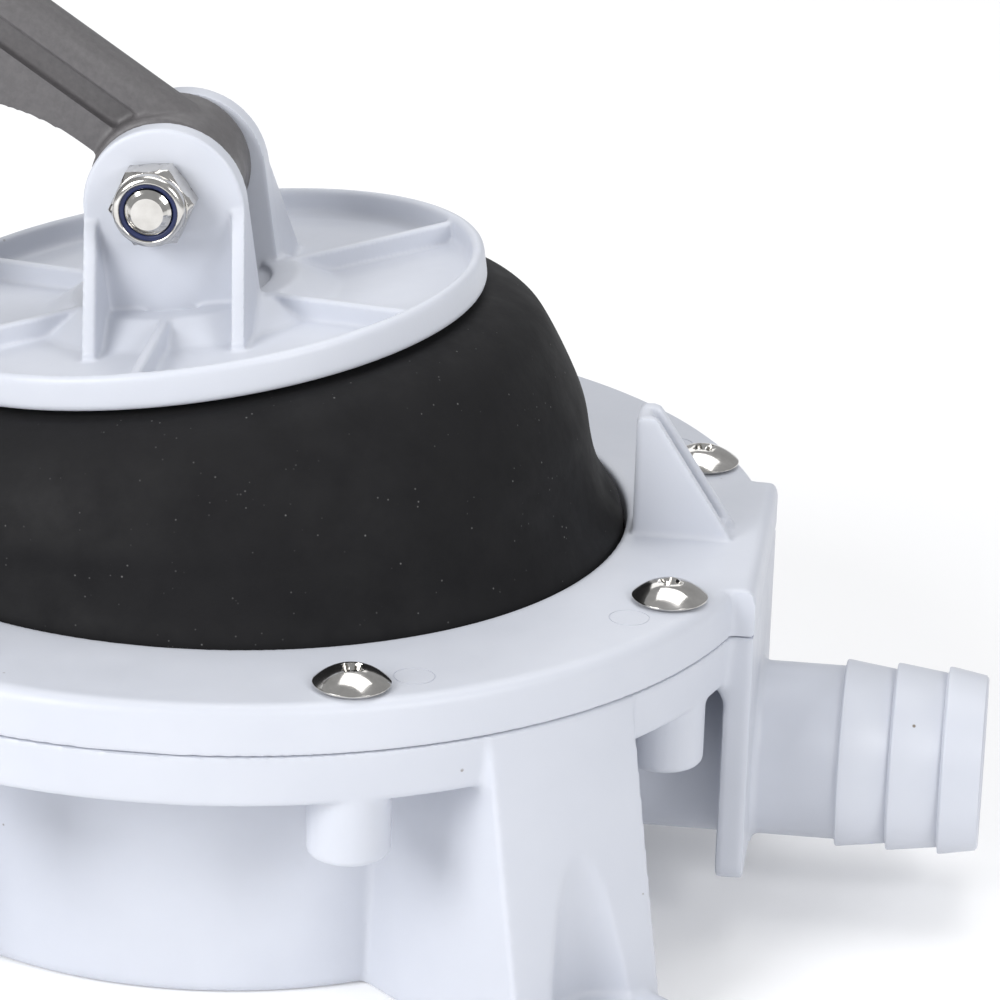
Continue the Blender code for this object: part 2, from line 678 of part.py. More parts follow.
def make_centre_hardware(parent, plate_bottom):
    head = HUB_RECESS_FLOOR + GAP
    washer_top = plate_bottom - GAP
    washer = turned(
        "centre_washer",
        [
            (4.4 * MM, washer_top), (11 * MM, washer_top),
            (11 * MM, washer_top - 1.6 * MM), (4.4 * MM, washer_top - 1.6 * MM),
        ],
        24, PLATE_FRAME, closed=True,
    )
    finish(washer, "steel", parent)
    seat = washer_top - 1.6 * MM - GAP
    make_bolt("centre_bolt", PLATE_FRAME, head, seat - M8_NUT - 1 * MM, parent)
    make_nylock("centre_nut", PLATE_FRAME, seat, parent)


# ---------------------------------------------------------------- lever and handle


def make_lever(parent):
    """Moulded lever: arm, leg down to the fulcrum and a round socket for the handle."""
    fulcrum = LEVER_FRAME.inverted() @ FULCRUM
    first = arc((15 * MM, ARM_BOTTOM - 45 * MM), 45 * MM, 90, 65, 5)
    lean = math.radians(65)
    bend = (first[-1][0] - 20 * MM * math.cos(lean), first[-1][1] - 20 * MM * math.sin(lean))
    second = arc(bend, 20 * MM, 65, -14, 8)[1:]
    shape = [(0, ARM_TOP), (0, ARM_BOTTOM)] + first + second
    shape += [
        (fulcrum.x - 8 * MM, fulcrum.z + 3 * MM), (fulcrum.x, fulcrum.z),
        (fulcrum.x + 9 * MM, fulcrum.z - 1 * MM),
        (59.5 * MM, -32 * MM), (63 * MM, -24 * MM), (70 * MM, HANDLE_RISE - SOCKET_R + 0.5 * MM),
        (70 * MM, HANDLE_RISE), (62 * MM, ARM_TOP - 0.1 * MM), (56 * MM, ARM_TOP),
    ]
    lever = outline("lever", shape, -ARM_HALF_DEPTH, ARM_HALF_DEPTH, LEVER_FRAME)
    pocket = [
        (39 * MM, GROOVE[0]), (39 * MM, 9.2 * MM), (47 * MM, 9.2 * MM), (52 * MM, 0), (54 * MM, -30 * MM),
        (46.5 * MM, -58 * MM), (41 * MM, -57 * MM), (48 * MM, -31 * MM), (46 * MM, -14 * MM),
        (43 * MM, -3 * MM),
    ]
    groove = [(10 * MM, GROOVE[0]), (10 * MM, GROOVE[1]), (39.5 * MM, GROOVE[1]), (39.5 * MM, GROOVE[0])]
    recesses = []
    for side in (-1, 1):
        low, high = sorted((side * (ARM_HALF_DEPTH - GROOVE_DEPTH), side * (ARM_HALF_DEPTH + 2 * MM)))
        recesses.append(outline(f"lever_groove_{side}", groove, low, high, LEVER_FRAME))
        recesses.append(outline(f"lever_pocket_{side}", pocket, low, high, LEVER_FRAME))
    combine(lever, "DIFFERENCE", recesses)
    along_arm = LEVER_FRAME @ Matrix.Translation((0, 0, HANDLE_RISE)) @ Matrix.Rotation(math.pi / 2, 4, "Y")
    added = [
        cylinder("clevis_boss", LEVER_BOSS_R, -BOSS_HALF_LENGTH, BOSS_HALF_LENGTH, 36, along_y(PIN)),
        cylinder("fulcrum_boss", FULCRUM_BOSS_R, -BOSS_HALF_LENGTH, BOSS_HALF_LENGTH, 32, along_y(FULCRUM)),
        turned(
            "socket",
            [
                (0, SOCKET_SPAN[1]), (SOCKET_R - 1 * MM, SOCKET_SPAN[1]), (SOCKET_R, SOCKET_SPAN[1] - 1 * MM),
                (SOCKET_R, SOCKET_SPAN[0] + 8 * MM), (6 * MM, SOCKET_SPAN[0]), (0, SOCKET_SPAN[0]),
            ],
            32, along_arm,
        ),
    ]
    combine(lever, "UNION", added)
    bush_hole = BUSH_R + GAP
    cuts = [
        cylinder("clevis_bore", bush_hole, -20 * MM, 20 * MM, 24, along_y(PIN)),
        cylinder("fulcrum_bore", bush_hole, -20 * MM, 20 * MM, 24, along_y(FULCRUM)),
        cylinder("socket_bore", SOCKET_BORE_R, SOCKET_BORE_START, SOCKET_SPAN[1] + 5 * MM, 32, along_arm),
        cylinder("lock_hole", 2.8 * MM, 0, 30 * MM, 16, LEVER_FRAME, at=(LOCK_SCREW_U, 0)),
    ]
    combine(lever, "DIFFERENCE", cuts)
    finish(lever, "dark_plastic", parent)
    for name, place in (("clevis_bush", PIN), ("fulcrum_bush", FULCRUM)):
        bush = turned(
            name,
            [
                (BUSH_BORE_R, BOSS_HALF_LENGTH), (BUSH_R, BOSS_HALF_LENGTH),
                (BUSH_R, -BOSS_HALF_LENGTH), (BUSH_BORE_R, -BOSS_HALF_LENGTH),
            ],
            24, along_y(place), closed=True,
        )
        finish(bush, "brass", parent)
    make_handle(parent, along_arm)


def make_handle(parent, along_arm):
    tube = turned(
        "handle_tube",
        [
            (TUBE_INNER_R, TUBE_SPAN[1]), (TUBE_R, TUBE_SPAN[1]), (TUBE_R, TUBE_SPAN[0]),
            (TUBE_INNER_R, TUBE_SPAN[0]),
        ],
        32, along_arm, closed=True,
    )
    hole = cylinder("tube_hole", 2.8 * MM, 0, 30 * MM, 16, LEVER_FRAME, at=(LOCK_SCREW_U, 0))
    combine(tube, "DIFFERENCE", [hole])
    finish(tube, "aluminium", parent)
    grip = turned(
        "handle_grip",
        [
            (0, GRIP_SPAN[1]), (GRIP_R - 3 * MM, GRIP_SPAN[1]), (GRIP_R, GRIP_SPAN[1] - 3 * MM),
            (GRIP_R, GRIP_SPAN[0] + 6 * MM), (GRIP_R + 1.6 * MM, GRIP_SPAN[0] + 4 * MM),
            (GRIP_R + 1.6 * MM, GRIP_SPAN[0] + 1 * MM), (GRIP_R, GRIP_SPAN[0]), (TUBE_R + GAP, GRIP_SPAN[0]),
            (TUBE_R + GAP, TUBE_SPAN[1] + GAP), (0, TUBE_SPAN[1] + GAP),
        ],
        32, along_arm,
    )
    finish(grip, "black_grip", parent)
    top = HANDLE_RISE + SOCKET_R + GAP
    place = LEVER_FRAME @ Matrix.Translation((LOCK_SCREW_U, 0, 0))
    lock = turned(
        "handle_lock_screw",
        [
            (0, top + 2.6 * MM), (2.6 * MM, top + 2.3 * MM), (4.6 * MM, top + 0.9 * MM), (4.6 * MM, top),
            (2.4 * MM, top), (2.4 * MM, HANDLE_RISE + 7 * MM), (0, HANDLE_RISE + 6 * MM),
        ],
        16, place,
    )
    slot = box("lock_slot", (-5 * MM, -0.5 * MM, top + 1.4 * MM), (5 * MM, 0.5 * MM, top + 4 * MM), place)
    combine(lock, "DIFFERENCE", [slot])
    finish(lock, "steel", parent)


# ---------------------------------------------------------------- valves


def make_valve(port):
    """Seat ring with two lugs, a hinge pin through them and a flap on the downstream side."""
    start = SEAT_X[port]
    face = start + SEAT_THICKNESS
    pin_x = face + GAP + FLAP_KNUCKLE_R + FLAP_KNUCKLE_ROOM
    frame = along_x((0, 0, PORT_Z))
    pin_frame = along_y((pin_x, 0, PORT_Z + FLAP_PIN_RISE))
    seat = turned(
        f"{port}_valve_seat",
        [(SEAT_OPENING_R, face), (SEAT_R, face), (SEAT_R, start), (SEAT_OPENING_R, start)],
        28, frame, closed=True,
    )
    lugs = []
    for side in (-1, 1):
        low, high = sorted((side * (FLAP_KNUCKLE_HALF + 0.4 * MM), side * (FLAP_KNUCKLE_HALF + 2.2 * MM)))
        lugs.append(
            box(
                f"{port}_seat_lug_{side}",
                (face - 1 * MM, low, PORT_Z + FLAP_PIN_RISE - 1.8 * MM),
                (pin_x + FLAP_KNUCKLE_R, high, PORT_Z + FLAP_PIN_RISE + 1.3 * MM),
            )
        )
    combine(seat, "UNION", lugs)
    seat_hole = cylinder(f"{port}_seat_hole", FLAP_PIN_HOLE_R, -9 * MM, 9 * MM, 12, pin_frame)
    combine(seat, "DIFFERENCE", [seat_hole])
    finish(seat, "black_plastic")

    pin = cylinder(f"{port}_flap_pin", FLAP_PIN_R, -FLAP_PIN_HALF, FLAP_PIN_HALF, 12, pin_frame)
    finish(pin, "steel")

    parent = axis_empty(f"{port}_flap_axis", pin_frame.translation)
    flap_start = face + GAP
    centre = along_x((0, 0, PORT_Z - FLAP_DROP))
    flap = cylinder(f"{port}_valve_flap", FLAP_R, flap_start, flap_start + FLAP_THICKNESS, 28, centre)
    knuckle = cylinder(
        f"{port}_knuckle", FLAP_KNUCKLE_R, -FLAP_KNUCKLE_HALF, FLAP_KNUCKLE_HALF, 14, pin_frame
    )
    notch = []
    for side in (-1, 1):
        low, high = sorted((side * FLAP_KNUCKLE_HALF, side * 12 * MM))
        top = PORT_Z + FLAP_PIN_RISE
        near, far = (flap_start - 5 * MM, low, top - 3.2 * MM), (flap_start + 8 * MM, high, top + 5 * MM)
        notch.append(box(f"{port}_notch_{side}", near, far))
    combine(flap, "UNION", [knuckle])
    trim = box(
        f"{port}_trim", (flap_start - 5 * MM, -12 * MM, PORT_Z - 12 * MM),
        (flap_start, 12 * MM, PORT_Z + 14 * MM),
    )
    hole = cylinder(f"{port}_flap_hole", FLAP_PIN_HOLE_R, -9 * MM, 9 * MM, 12, pin_frame)
    combine(flap, "DIFFERENCE", notch + [trim, hole])
    finish(flap, "rubber", parent)


# ---------------------------------------------------------------- assembly

clear_scene()
PARTS = new_collection("manual_bilge_pump")
HELPERS = new_collection("cutters")
HELPERS.hide_render = True
LOOKS = make_materials()

lever_axis = axis_empty("lever_axis", FULCRUM)
plate_axis = axis_empty("plate_axis", PIN)
make_pump_body()
make_clamp_ring()
make_flange_screws()
make_diaphragm(plate_axis)
make_diaphragm_plate(plate_axis)
_, clamp_bottom = make_lower_clamp_plate(plate_axis)
make_centre_hardware(plate_axis, clamp_bottom)
make_clevis_hardware(plate_axis)
make_fulcrum_hardware()
make_lever(lever_axis)
for port_name in SEAT_X:
    make_valve(port_name)
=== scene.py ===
"""Looks of the manual bilge pump: moulded shells, turned hardware, rubber, materials, light and camera.

Lengths are in millimetres, apart from the lights, which are in metres. The origin is the centre of the base,
and +X is the outlet.
"""

import json
import math

import bmesh
import bpy
from mathutils import Matrix, Vector, noise


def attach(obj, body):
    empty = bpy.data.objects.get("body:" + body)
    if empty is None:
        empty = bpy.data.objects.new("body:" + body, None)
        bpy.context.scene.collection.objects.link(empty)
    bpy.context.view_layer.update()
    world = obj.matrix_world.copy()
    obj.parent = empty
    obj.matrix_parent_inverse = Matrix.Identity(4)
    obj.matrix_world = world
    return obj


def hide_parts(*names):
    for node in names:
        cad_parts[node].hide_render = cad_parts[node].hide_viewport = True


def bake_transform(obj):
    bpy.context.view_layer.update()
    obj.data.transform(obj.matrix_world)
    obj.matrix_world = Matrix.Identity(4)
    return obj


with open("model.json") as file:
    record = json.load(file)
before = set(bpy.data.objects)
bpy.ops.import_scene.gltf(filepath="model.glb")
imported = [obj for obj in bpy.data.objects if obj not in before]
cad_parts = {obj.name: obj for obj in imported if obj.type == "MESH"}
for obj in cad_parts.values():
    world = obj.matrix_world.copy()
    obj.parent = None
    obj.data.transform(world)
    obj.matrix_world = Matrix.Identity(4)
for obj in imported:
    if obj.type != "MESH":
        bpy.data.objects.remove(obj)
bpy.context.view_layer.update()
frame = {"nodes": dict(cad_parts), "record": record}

MM = 0.001

# Flange stack
FLANGE_R = 95.0
PARTING_Z = 57.3
PARTING_GAP = 0.07
RING_TOP = 65.9
RING_INNER_R = 69.9
BEAD_OUTER_R = 80.0
BEAD_SEAT_Z = 55.6
BEAD_ROOF_Z = 60.0
FLANGE_UNDERSIDE = 48.0
SIDE_PLATE_X = (90.2, 95.0)
SIDE_PLATE_HALF = 27.0
SIDE_PLATE_BOTTOM = 11.2
SIDE_PLATE_CORNER = 3.0
BRACKET_X = 71.5
BRACKET_HEIGHT = 21.6
LUG_R = 10.5
LUG_FACES = (9.2, 13.8)

# Bowl
BOWL_FLOOR = 3.6
CHAMBER_R = 62.8
CHAMBER_FLOOR_R = 62.0

# Screws
SCREW_ANGLES = [math.radians(22.5 + 45 * i) for i in range(8)]
SCREW_CIRCLE_R = 87.4
SCREW_HEAD_R = 6.5
SCREW_HEAD_HEIGHT = 3.2
SCREW_SHANK_R = 2.3
SCREW_HOLE_R = 2.7
SCREW_BOSS_R = 6.95
SCREW_BOSS_BOTTOM = 36.5
EJECTOR_MARK = (3.28, 3.45)

# Legs
LEG_ANGLES = [math.radians(45 + 90 * i) for i in range(4)]
LEG_HALF_WIDTH = 15.3
LEG_FOOT_R = 106.4
LEG_INNER = 58.0
FOOT_CENTRE_R = 108.5
FOOT_R = 15.0
FOOT_HEIGHT = 8.0
FOOT_HOLE_R = 2.75
DRIVER_R = 9.0
LEG_WALL = 3.3
LEG_CORE_X = (70, 94)
LEG_CORE_TOP = 43

# Hose tails and valves
PORT_Z = 25.8
PORT_R = 15.4
PORT_BORE_R = 12.6
BARB_R = 16.6
BARB_STARTS = (110.0, 119.0, 128.1)
PORT_END = 135.2

# M8 bolts, lock nuts and brass bushes, with the gap between touching pieces
BOLT_R = 4.0
BOLT_HOLE_R = 4.35
BOLT_HEAD_HEIGHT = 5.3
HEX_WIDTH = 13
NUT_HEX_HEIGHT = 5.6
NUT_HEIGHT = 8.0
NUT_BORE_R = 4.3
THREAD_LENGTH = 14.0
BUSH_R = 5.6
BUSH_BORE_R = 4.3
BUSH_HOLE_R = 5.9
CONTACT_GAP = 0.3

# Lever and plate frames
PIN = Vector((-11.4, 0, 124.4))
FULCRUM = Vector((-84.5, 0, 84.0))
ARM_RISE = math.radians(33.65)
PLATE_TILT = math.radians(8.23)
PIN_ABOVE_RIM = 18.46
EAR_HALF_WIDTH = 14.0
EAR_SHIFT = 0.9
EAR_DROP = 1.8
EAR_FACES = (9.1, 13.5)
GUSSET_TOP = 16.4
PLATE_BOTTOM = -7.0
PLATE_RIM_R = 52.4
RUBBER_THICKNESS = 2.5
LOWER_PLATE_THICKNESS = 3.0
WASHER_THICKNESS = 1.6

# Lever and handle
HANDLE_RISE = -1.9
SLAB_HALF = 6
HUB_HALF = 8.5
CLEVIS_HUB_R = 12.8
FULCRUM_HUB_R = 11
SOCKET_R = 14.5
LOCK_SCREW_X = 86
TUBE_R = 10.9
TUBE_BORE_R = 9.4
TUBE_ENDS = (61, 300)
GRIP_R = 14.0
GRIP_BORE_R = 11.2
GRIP_RIBS = 22

# Camera at the photograph's viewing angle, and the floor
CAMERA_AZIMUTH = math.radians(-6.24)
CAMERA_ELEVATION = math.radians(20.83)
CAMERA_ROLL = math.radians(1.9)
CAMERA_PLACE = Vector((139.8, -842.4, 391.3))
CAMERA_LENS = 185.9
FLOOR_HALF = 6000

WORLD = Matrix.Identity(4)
PLATE_NORMAL = Vector((-math.sin(PLATE_TILT), 0, math.cos(PLATE_TILT)))
PLATE_CENTRE = PIN - PLATE_NORMAL * PIN_ABOVE_RIM
PLATE_FRAME = Matrix.Translation(PLATE_CENTRE) @ Matrix.Rotation(-PLATE_TILT, 4, "Y")
LEVER_FRAME = Matrix.Translation(PIN) @ Matrix(
    (
        (-math.cos(ARM_RISE), 0, math.sin(ARM_RISE), 0),
        (0, -1, 0, 0),
        (math.sin(ARM_RISE), 0, math.cos(ARM_RISE), 0),
        (0, 0, 0, 1),
    )
)
HANDLE_FRAME = LEVER_FRAME @ Matrix.Translation((0, 0, HANDLE_RISE)) @ Matrix.Rotation(math.pi / 2, 4, "Y")


def along_y(centre):
    """Frame at centre whose Z is the world's -Y."""
    return Matrix.Translation(centre) @ Matrix.Rotation(math.pi / 2, 4, "X")


def along_x(side):
    """Frame on the port axis whose Z is the world's +X or -X."""
    return Matrix.Translation((0, 0, PORT_Z)) @ Matrix.Rotation(side * math.pi / 2, 4, "Y")


def polar(radius, angle, z=0.0):
    return Vector((radius * math.cos(angle), radius * math.sin(angle), z))


# ---------------------------------------------------------------- outlines


def arc(centre, radius, start, end, steps):
    """Points on a circle from start to end, in degrees."""
    angles = [math.radians(start + (end - start) * i / steps) for i in range(steps + 1)]
    return [(centre[0] + radius * math.cos(a), centre[1] + radius * math.sin(a)) for a in angles]


def filleted(corners, steps):
    """Outline through (x, z) or (x, z, radius) corners, with an arc of that radius at each rounded one."""
    points = []
    count = len(corners)
    for i, corner in enumerate(corners):
        here = Vector(corner[:2])
        radius = corner[2] if len(corner) > 2 else 0
        if not radius:
            points.append(tuple(here))
            continue
        before = (Vector(corners[i - 1][:2]) - here).normalized()
        after = (Vector(corners[(i + 1) % count][:2]) - here).normalized()
        half = before.angle(after) / 2
        reach = radius / math.tan(half)
        middle = here + (before + after).normalized() * radius / math.sin(half)
        start = here + before * reach - middle
        turn = start.angle_signed(here + after * reach - middle)
        for k in range(steps + 1):
            spun = Matrix.Rotation(-turn * k / steps, 2) @ start
            points.append(tuple(middle + spun))
    return points


# ---------------------------------------------------------------- closed shapes, as bmesh in millimetres


def turned(profile, segments, place=WORLD):
    """Closed section of (radius, z) points turned about Z. Points on the axis become poles."""
    bm = bmesh.new()
    rings = []
    for radius, z in profile:
        if radius < 1e-6:
            rings.append([bm.verts.new((0, 0, z))])
        else:
            circle = [polar(radius, 2 * math.pi * k / segments, z) for k in range(segments)]
            rings.append([bm.verts.new(point) for point in circle])
    for a, b in zip(rings, rings[1:] + rings[:1]):
        if len(a) == 1 and len(b) == 1:
            continue
        for k in range(segments):
            after = (k + 1) % segments
            corners = [a[k % len(a)], a[after % len(a)], b[after % len(b)], b[k % len(b)]]
            unique = list(dict.fromkeys(corners))
            bm.faces.new(unique)
    bmesh.ops.recalc_face_normals(bm, faces=bm.faces)
    bm.transform(place)
    return bm


def prism(points, low, high, place=WORLD):
    """Outline in the frame's XZ plane, solid from low to high along the frame's Y."""
    bm = bmesh.new()
    base = [bm.verts.new((x, low, z)) for x, z in points]
    far = [bm.verts.new((x, high, z)) for x, z in points]
    bm.faces.new(base)
    bm.faces.new(far[::-1])
    for i in range(len(points)):
        j = (i + 1) % len(points)
        bm.faces.new((base[j], base[i], far[i], far[j]))
    bm.normal_update()
    bmesh.ops.triangulate(bm, faces=[f for f in bm.faces if len(f.verts) > 4])
    bmesh.ops.recalc_face_normals(bm, faces=bm.faces)
    bm.transform(place)
    return bm


def block(low, high, place=WORLD):
    corners = [(low[0], low[2]), (high[0], low[2]), (high[0], high[2]), (low[0], high[2])]
    return prism(corners, low[1], high[1], place)


def rod(radius, low, high, place=WORLD, at=(0, 0), segments=64, top_radius=None):
    end = radius if top_radius is None else top_radius
    shift = Matrix.Translation((*at, 0))
    return turned([(0, low), (radius, low), (end, high), (0, high)], segments, place @ shift)


def lofted(rings):
    """Closed tube of rings of points, its last ring joined to its first."""
    bm = bmesh.new()
    loops = [[bm.verts.new(point) for point in ring] for ring in rings]
    count = len(loops[0])
    for a, b in zip(loops, loops[1:] + loops[:1]):
        for k in range(count):
            after = (k + 1) % count
            bm.faces.new((a[k], a[after], b[after], b[k]))
    bmesh.ops.recalc_face_normals(bm, faces=bm.faces)
    return bm


# ---------------------------------------------------------------- objects


def as_object(name, shapes):
    """One mesh object made of these shapes, in metres."""
    whole = bmesh.new()
    for shape in shapes:
        mesh = bpy.data.meshes.new("shape")
        shape.to_mesh(mesh)
        shape.free()
        whole.from_mesh(mesh)
        bpy.data.meshes.remove(mesh)
    whole.transform(Matrix.Scale(MM, 4))
    mesh = bpy.data.meshes.new(name)
    whole.to_mesh(mesh)
    whole.free()
    obj = bpy.data.objects.new(name, mesh)
    bpy.context.scene.collection.objects.link(obj)
    return obj


def baked(obj):
    """Applies the object's modifiers."""
    graph = bpy.context.evaluated_depsgraph_get()
    mesh = bpy.data.meshes.new_from_object(obj.evaluated_get(graph))
    old = obj.data
    obj.modifiers.clear()
    obj.data = mesh
    bpy.data.meshes.remove(old)


def cut(obj, shapes):
    """Cuts the shapes out of the object, one after another."""
    for shape in shapes:
        tool = as_object("tool", [shape])
        change = obj.modifiers.new("cut", "BOOLEAN")
        change.operation = "DIFFERENCE"
        change.solver = "MANIFOLD"
        change.object = tool
        baked(obj)
        bpy.data.objects.remove(tool, do_unlink=True)


def smooth_by_angle(obj, degrees):
    obj.data.shade_smooth()
    obj.data.set_sharp_from_angle(angle=math.radians(degrees))
    return obj


def in_metres(place):
    """The same frame with its origin in metres."""
    scaled = place.copy()
    scaled.translation = place.translation * MM
    return scaled


def moulded(name, shapes, holes, pitch, rounding, keep, grid=WORLD):
    """One moulding: its shapes merged, all edges and inside corners rounded, and then its holes cut sharp.

    pitch is the mesh pitch in mm, rounding the number of smoothing steps, and keep the share of faces kept.
    grid is the frame whose axes the mesh follows, so that faces square to them stay flat.
    """
    obj = as_object(name, shapes)
    obj.data.transform(in_metres(grid).inverted())
    merge = obj.modifiers.new("merge", "REMESH")
    merge.mode = "VOXEL"
    merge.voxel_size = pitch * MM
    soften = obj.modifiers.new("soften", "SMOOTH")
    soften.factor = 0.5
    soften.iterations = rounding
    thin = obj.modifiers.new("thin", "DECIMATE")
    thin.ratio = keep
    baked(obj)
    obj.data.transform(in_metres(grid))
    cut(obj, holes)
    return smooth_by_angle(obj, 40)


def machined(name, shapes, cuts, bevel, degrees=35):
    """A hard piece with small bevels on its edges."""
    obj = as_object(name, shapes)
    cut(obj, cuts)
    edge = obj.modifiers.new("edge", "BEVEL")
    edge.width = bevel * MM
    edge.segments = 3
    edge.limit_method = "ANGLE"
    edge.angle_limit = math.radians(32)
    edge.harden_normals = True
    smooth_by_angle(obj, degrees)
    baked(obj)
    return smooth_by_angle(obj, degrees)


def place_piece(obj, body, slot, material, *nodes):
    """Gives a piece its material and body, and hides the CAD nodes it stands for. Its slot is not used."""
    obj.data.materials.clear()
    obj.data.materials.append(material)
    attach(obj, body)
    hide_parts(*nodes)


# ---------------------------------------------------------------- materials


class Nodes:
    """Short way to build a node material around one Principled shader."""

    def __init__(self, name):
        self.material = bpy.data.materials.new(name)
        self.material.use_nodes = True
        self.tree = self.material.node_tree
        self.shader = self.tree.nodes["Principled BSDF"]
        coordinates = self.tree.nodes.new("ShaderNodeTexCoord")
        self.place = coordinates.outputs["Object"]

    def link(self, source, target):
        self.tree.links.new(source, target)

    def set(self, **values):
        for key, value in values.items():
            self.shader.inputs[key.replace("_", " ")].default_value = value

    def noise(self, scale, detail=3.0, rough=0.5, stretch=None):
        node = self.tree.nodes.new("ShaderNodeTexNoise")
        node.inputs["Scale"].default_value = scale
        node.inputs["Detail"].default_value = detail
        node.inputs["Roughness"].default_value = rough
        self.link(self.stretched(stretch), node.inputs["Vector"])
        return node.outputs["Fac"]

    def stretched(self, stretch):
        if stretch is None:
            return self.place
        node = self.tree.nodes.new("ShaderNodeMapping")
        node.inputs["Scale"].default_value = stretch
        self.link(self.place, node.inputs["Vector"])
        return node.outputs["Vector"]

    def cells(self, scale):
        node = self.tree.nodes.new("ShaderNodeTexVoronoi")
        node.inputs["Scale"].default_value = scale
        self.link(self.place, node.inputs["Vector"])
        return node.outputs["Distance"]

    def ramp(self, source, stops):
        """A colour between two (position, colour) stops."""
        node = self.tree.nodes.new("ShaderNodeValToRGB")
        for element, (position, colour) in zip(node.color_ramp.elements, stops):
            element.position = position
            element.color = (*colour, 1)
        self.link(source, node.inputs["Fac"])
        return node.outputs["Color"]

    def span(self, source, low, high, start, end):
        """Maps start..end to low..high."""
        node = self.tree.nodes.new("ShaderNodeMapRange")
        node.inputs["From Min"].default_value = start
        node.inputs["From Max"].default_value = end
        node.inputs["To Min"].default_value = low
        node.inputs["To Max"].default_value = high
        self.link(source, node.inputs["Value"])
        return node.outputs["Result"]

    def product(self, a, b):
        node = self.tree.nodes.new("ShaderNodeMath")
        node.operation = "MULTIPLY"
        self.link(a, node.inputs[0])
        self.link(b, node.inputs[1])
        return node.outputs["Value"]

    def mix(self, factor, base, colour):
        """The base with a colour laid over it, as strongly as factor says."""
        node = self.tree.nodes.new("ShaderNodeMix")
        node.data_type = "RGBA"
        self.link(factor, node.inputs[0])
        self.link(base, node.inputs[6])
        node.inputs[7].default_value = (*colour, 1)
        return node.outputs[2]

    def colour(self, source):
        self.link(source, self.shader.inputs["Base Color"])

    def roughness(self, source):
        self.link(source, self.shader.inputs["Roughness"])

    def bump(self, *layers):
        """Layers of (height, distance in mm), the first one deepest in the chain."""
        normal = None
        for height, distance in layers:
            node = self.tree.nodes.new("ShaderNodeBump")
            node.inputs["Strength"].default_value = 1.0
            node.inputs["Distance"].default_value = distance * MM
            self.link(height, node.inputs["Height"])
            if normal:
                self.link(normal, node.inputs["Normal"])
            normal = node.outputs["Normal"]
        self.link(normal, self.shader.inputs["Normal"])


def grey_plastic():
    """Light bluish grey moulded polymer: faint clouding, fine mould texture and a few tiny dark specks."""
    m = Nodes("grey plastic")
    cloud = m.noise(28, 4, 0.55)
    base = m.ramp(cloud, [(0.3, (0.560, 0.583, 0.645)), (0.7, (0.605, 0.627, 0.687))])
    specks = m.cells(230)
    chance = m.noise(95, 1)
    spot = m.product(m.span(specks, 1, 0, 0.05, 0.085), m.span(chance, 0, 1, 0.69, 0.72))
    m.colour(m.mix(spot, base, (0.20, 0.17, 0.14)))
    m.roughness(m.span(m.noise(160, 4, 0.6), 0.36, 0.50, 0.3, 0.7))
    m.set(Subsurface_Weight=0.06, Subsurface_Radius=(0.9, 1.0, 1.2), Subsurface_Scale=1.5 * MM, IOR=1.49)
    m.bump((m.noise(60, 3), 0.05), (m.noise(1900, 3, 0.6), 0.012))
    return m.material


def dark_plastic():
    """Dark warm grey glass-filled nylon with a sandy skin."""
    m = Nodes("dark grey plastic")
    grain = m.noise(900, 4, 0.65)
    m.colour(m.ramp(grain, [(0.3, (0.096, 0.092, 0.095)), (0.72, (0.126, 0.120, 0.124))]))
    m.roughness(m.span(m.noise(300, 3), 0.40, 0.56, 0.3, 0.7))
    m.bump((m.noise(70, 2), 0.05), (m.noise(1400, 4, 0.65), 0.03))
    return m.material


def black_plastic():
    m = Nodes("black plastic")
    m.colour(m.ramp(m.noise(400, 3), [(0.3, (0.028, 0.028, 0.031)), (0.7, (0.045, 0.045, 0.048))]))
    m.roughness(m.span(m.noise(200, 3), 0.42, 0.58, 0.3, 0.7))
    m.bump((m.noise(1300, 3), 0.02))
    return m.material


def rubber(name="diaphragm rubber", dusty=1.0):
    """Matte black rubber with a pale bloom and fine dust specks."""
    m = Nodes(name)
    bloom = m.noise(22, 5, 0.6)
    base = m.ramp(bloom, [(0.3, (0.0048, 0.0048, 0.0058)), (0.75, (0.0086, 0.0084, 0.0096))])
    dust = m.cells(620)
    chance = m.noise(240, 2)
    fleck = m.product(m.span(dust, 1, 0, 0.05, 0.13), m.span(chance, 0, dusty, 0.52, 0.62))
    m.colour(m.mix(fleck, base, (0.13, 0.13, 0.13)))
    m.roughness(m.span(m.noise(120, 4, 0.6), 0.60, 0.78, 0.3, 0.7))
    m.set(Specular_IOR_Level=0.20, Sheen_Weight=0.02, Sheen_Roughness=0.5)
    m.bump((m.noise(26, 3), 0.25), (m.noise(420, 4, 0.6), 0.035), (m.noise(2100, 2), 0.012))
    return m.material


def steel():
    """Polished stainless steel with faint smudges and fine polishing marks."""
    m = Nodes("polished stainless")
    smudge = m.noise(240, 4, 0.6)
    m.colour(m.ramp(smudge, [(0.3, (0.56, 0.545, 0.52)), (0.7, (0.70, 0.685, 0.66))]))
    m.roughness(m.span(smudge, 0.07, 0.19, 0.3, 0.7))
    m.set(Metallic=1.0)
    m.bump((m.noise(700, 3, 0.6), 0.012), (m.noise(3000, 2), 0.003))
    return m.material


def nylon():
    m = Nodes("blue nylon")
    m.colour(m.ramp(m.noise(500, 2), [(0.3, (0.008, 0.014, 0.060)), (0.7, (0.014, 0.024, 0.095))]))
    m.roughness(m.span(m.noise(300, 2), 0.35, 0.5, 0.3, 0.7))
    m.bump((m.noise(1500, 2), 0.01))
    return m.material


def brass():
    m = Nodes("turned brass")
    m.colour(m.ramp(m.noise(200, 3), [(0.3, (0.60, 0.40, 0.16)), (0.7, (0.74, 0.53, 0.25))]))
    m.roughness(m.span(m.noise(400, 3), 0.22, 0.38, 0.3, 0.7))
    m.set(Metallic=1.0)
    m.bump((m.noise(900, 2), 0.006))
    return m.material


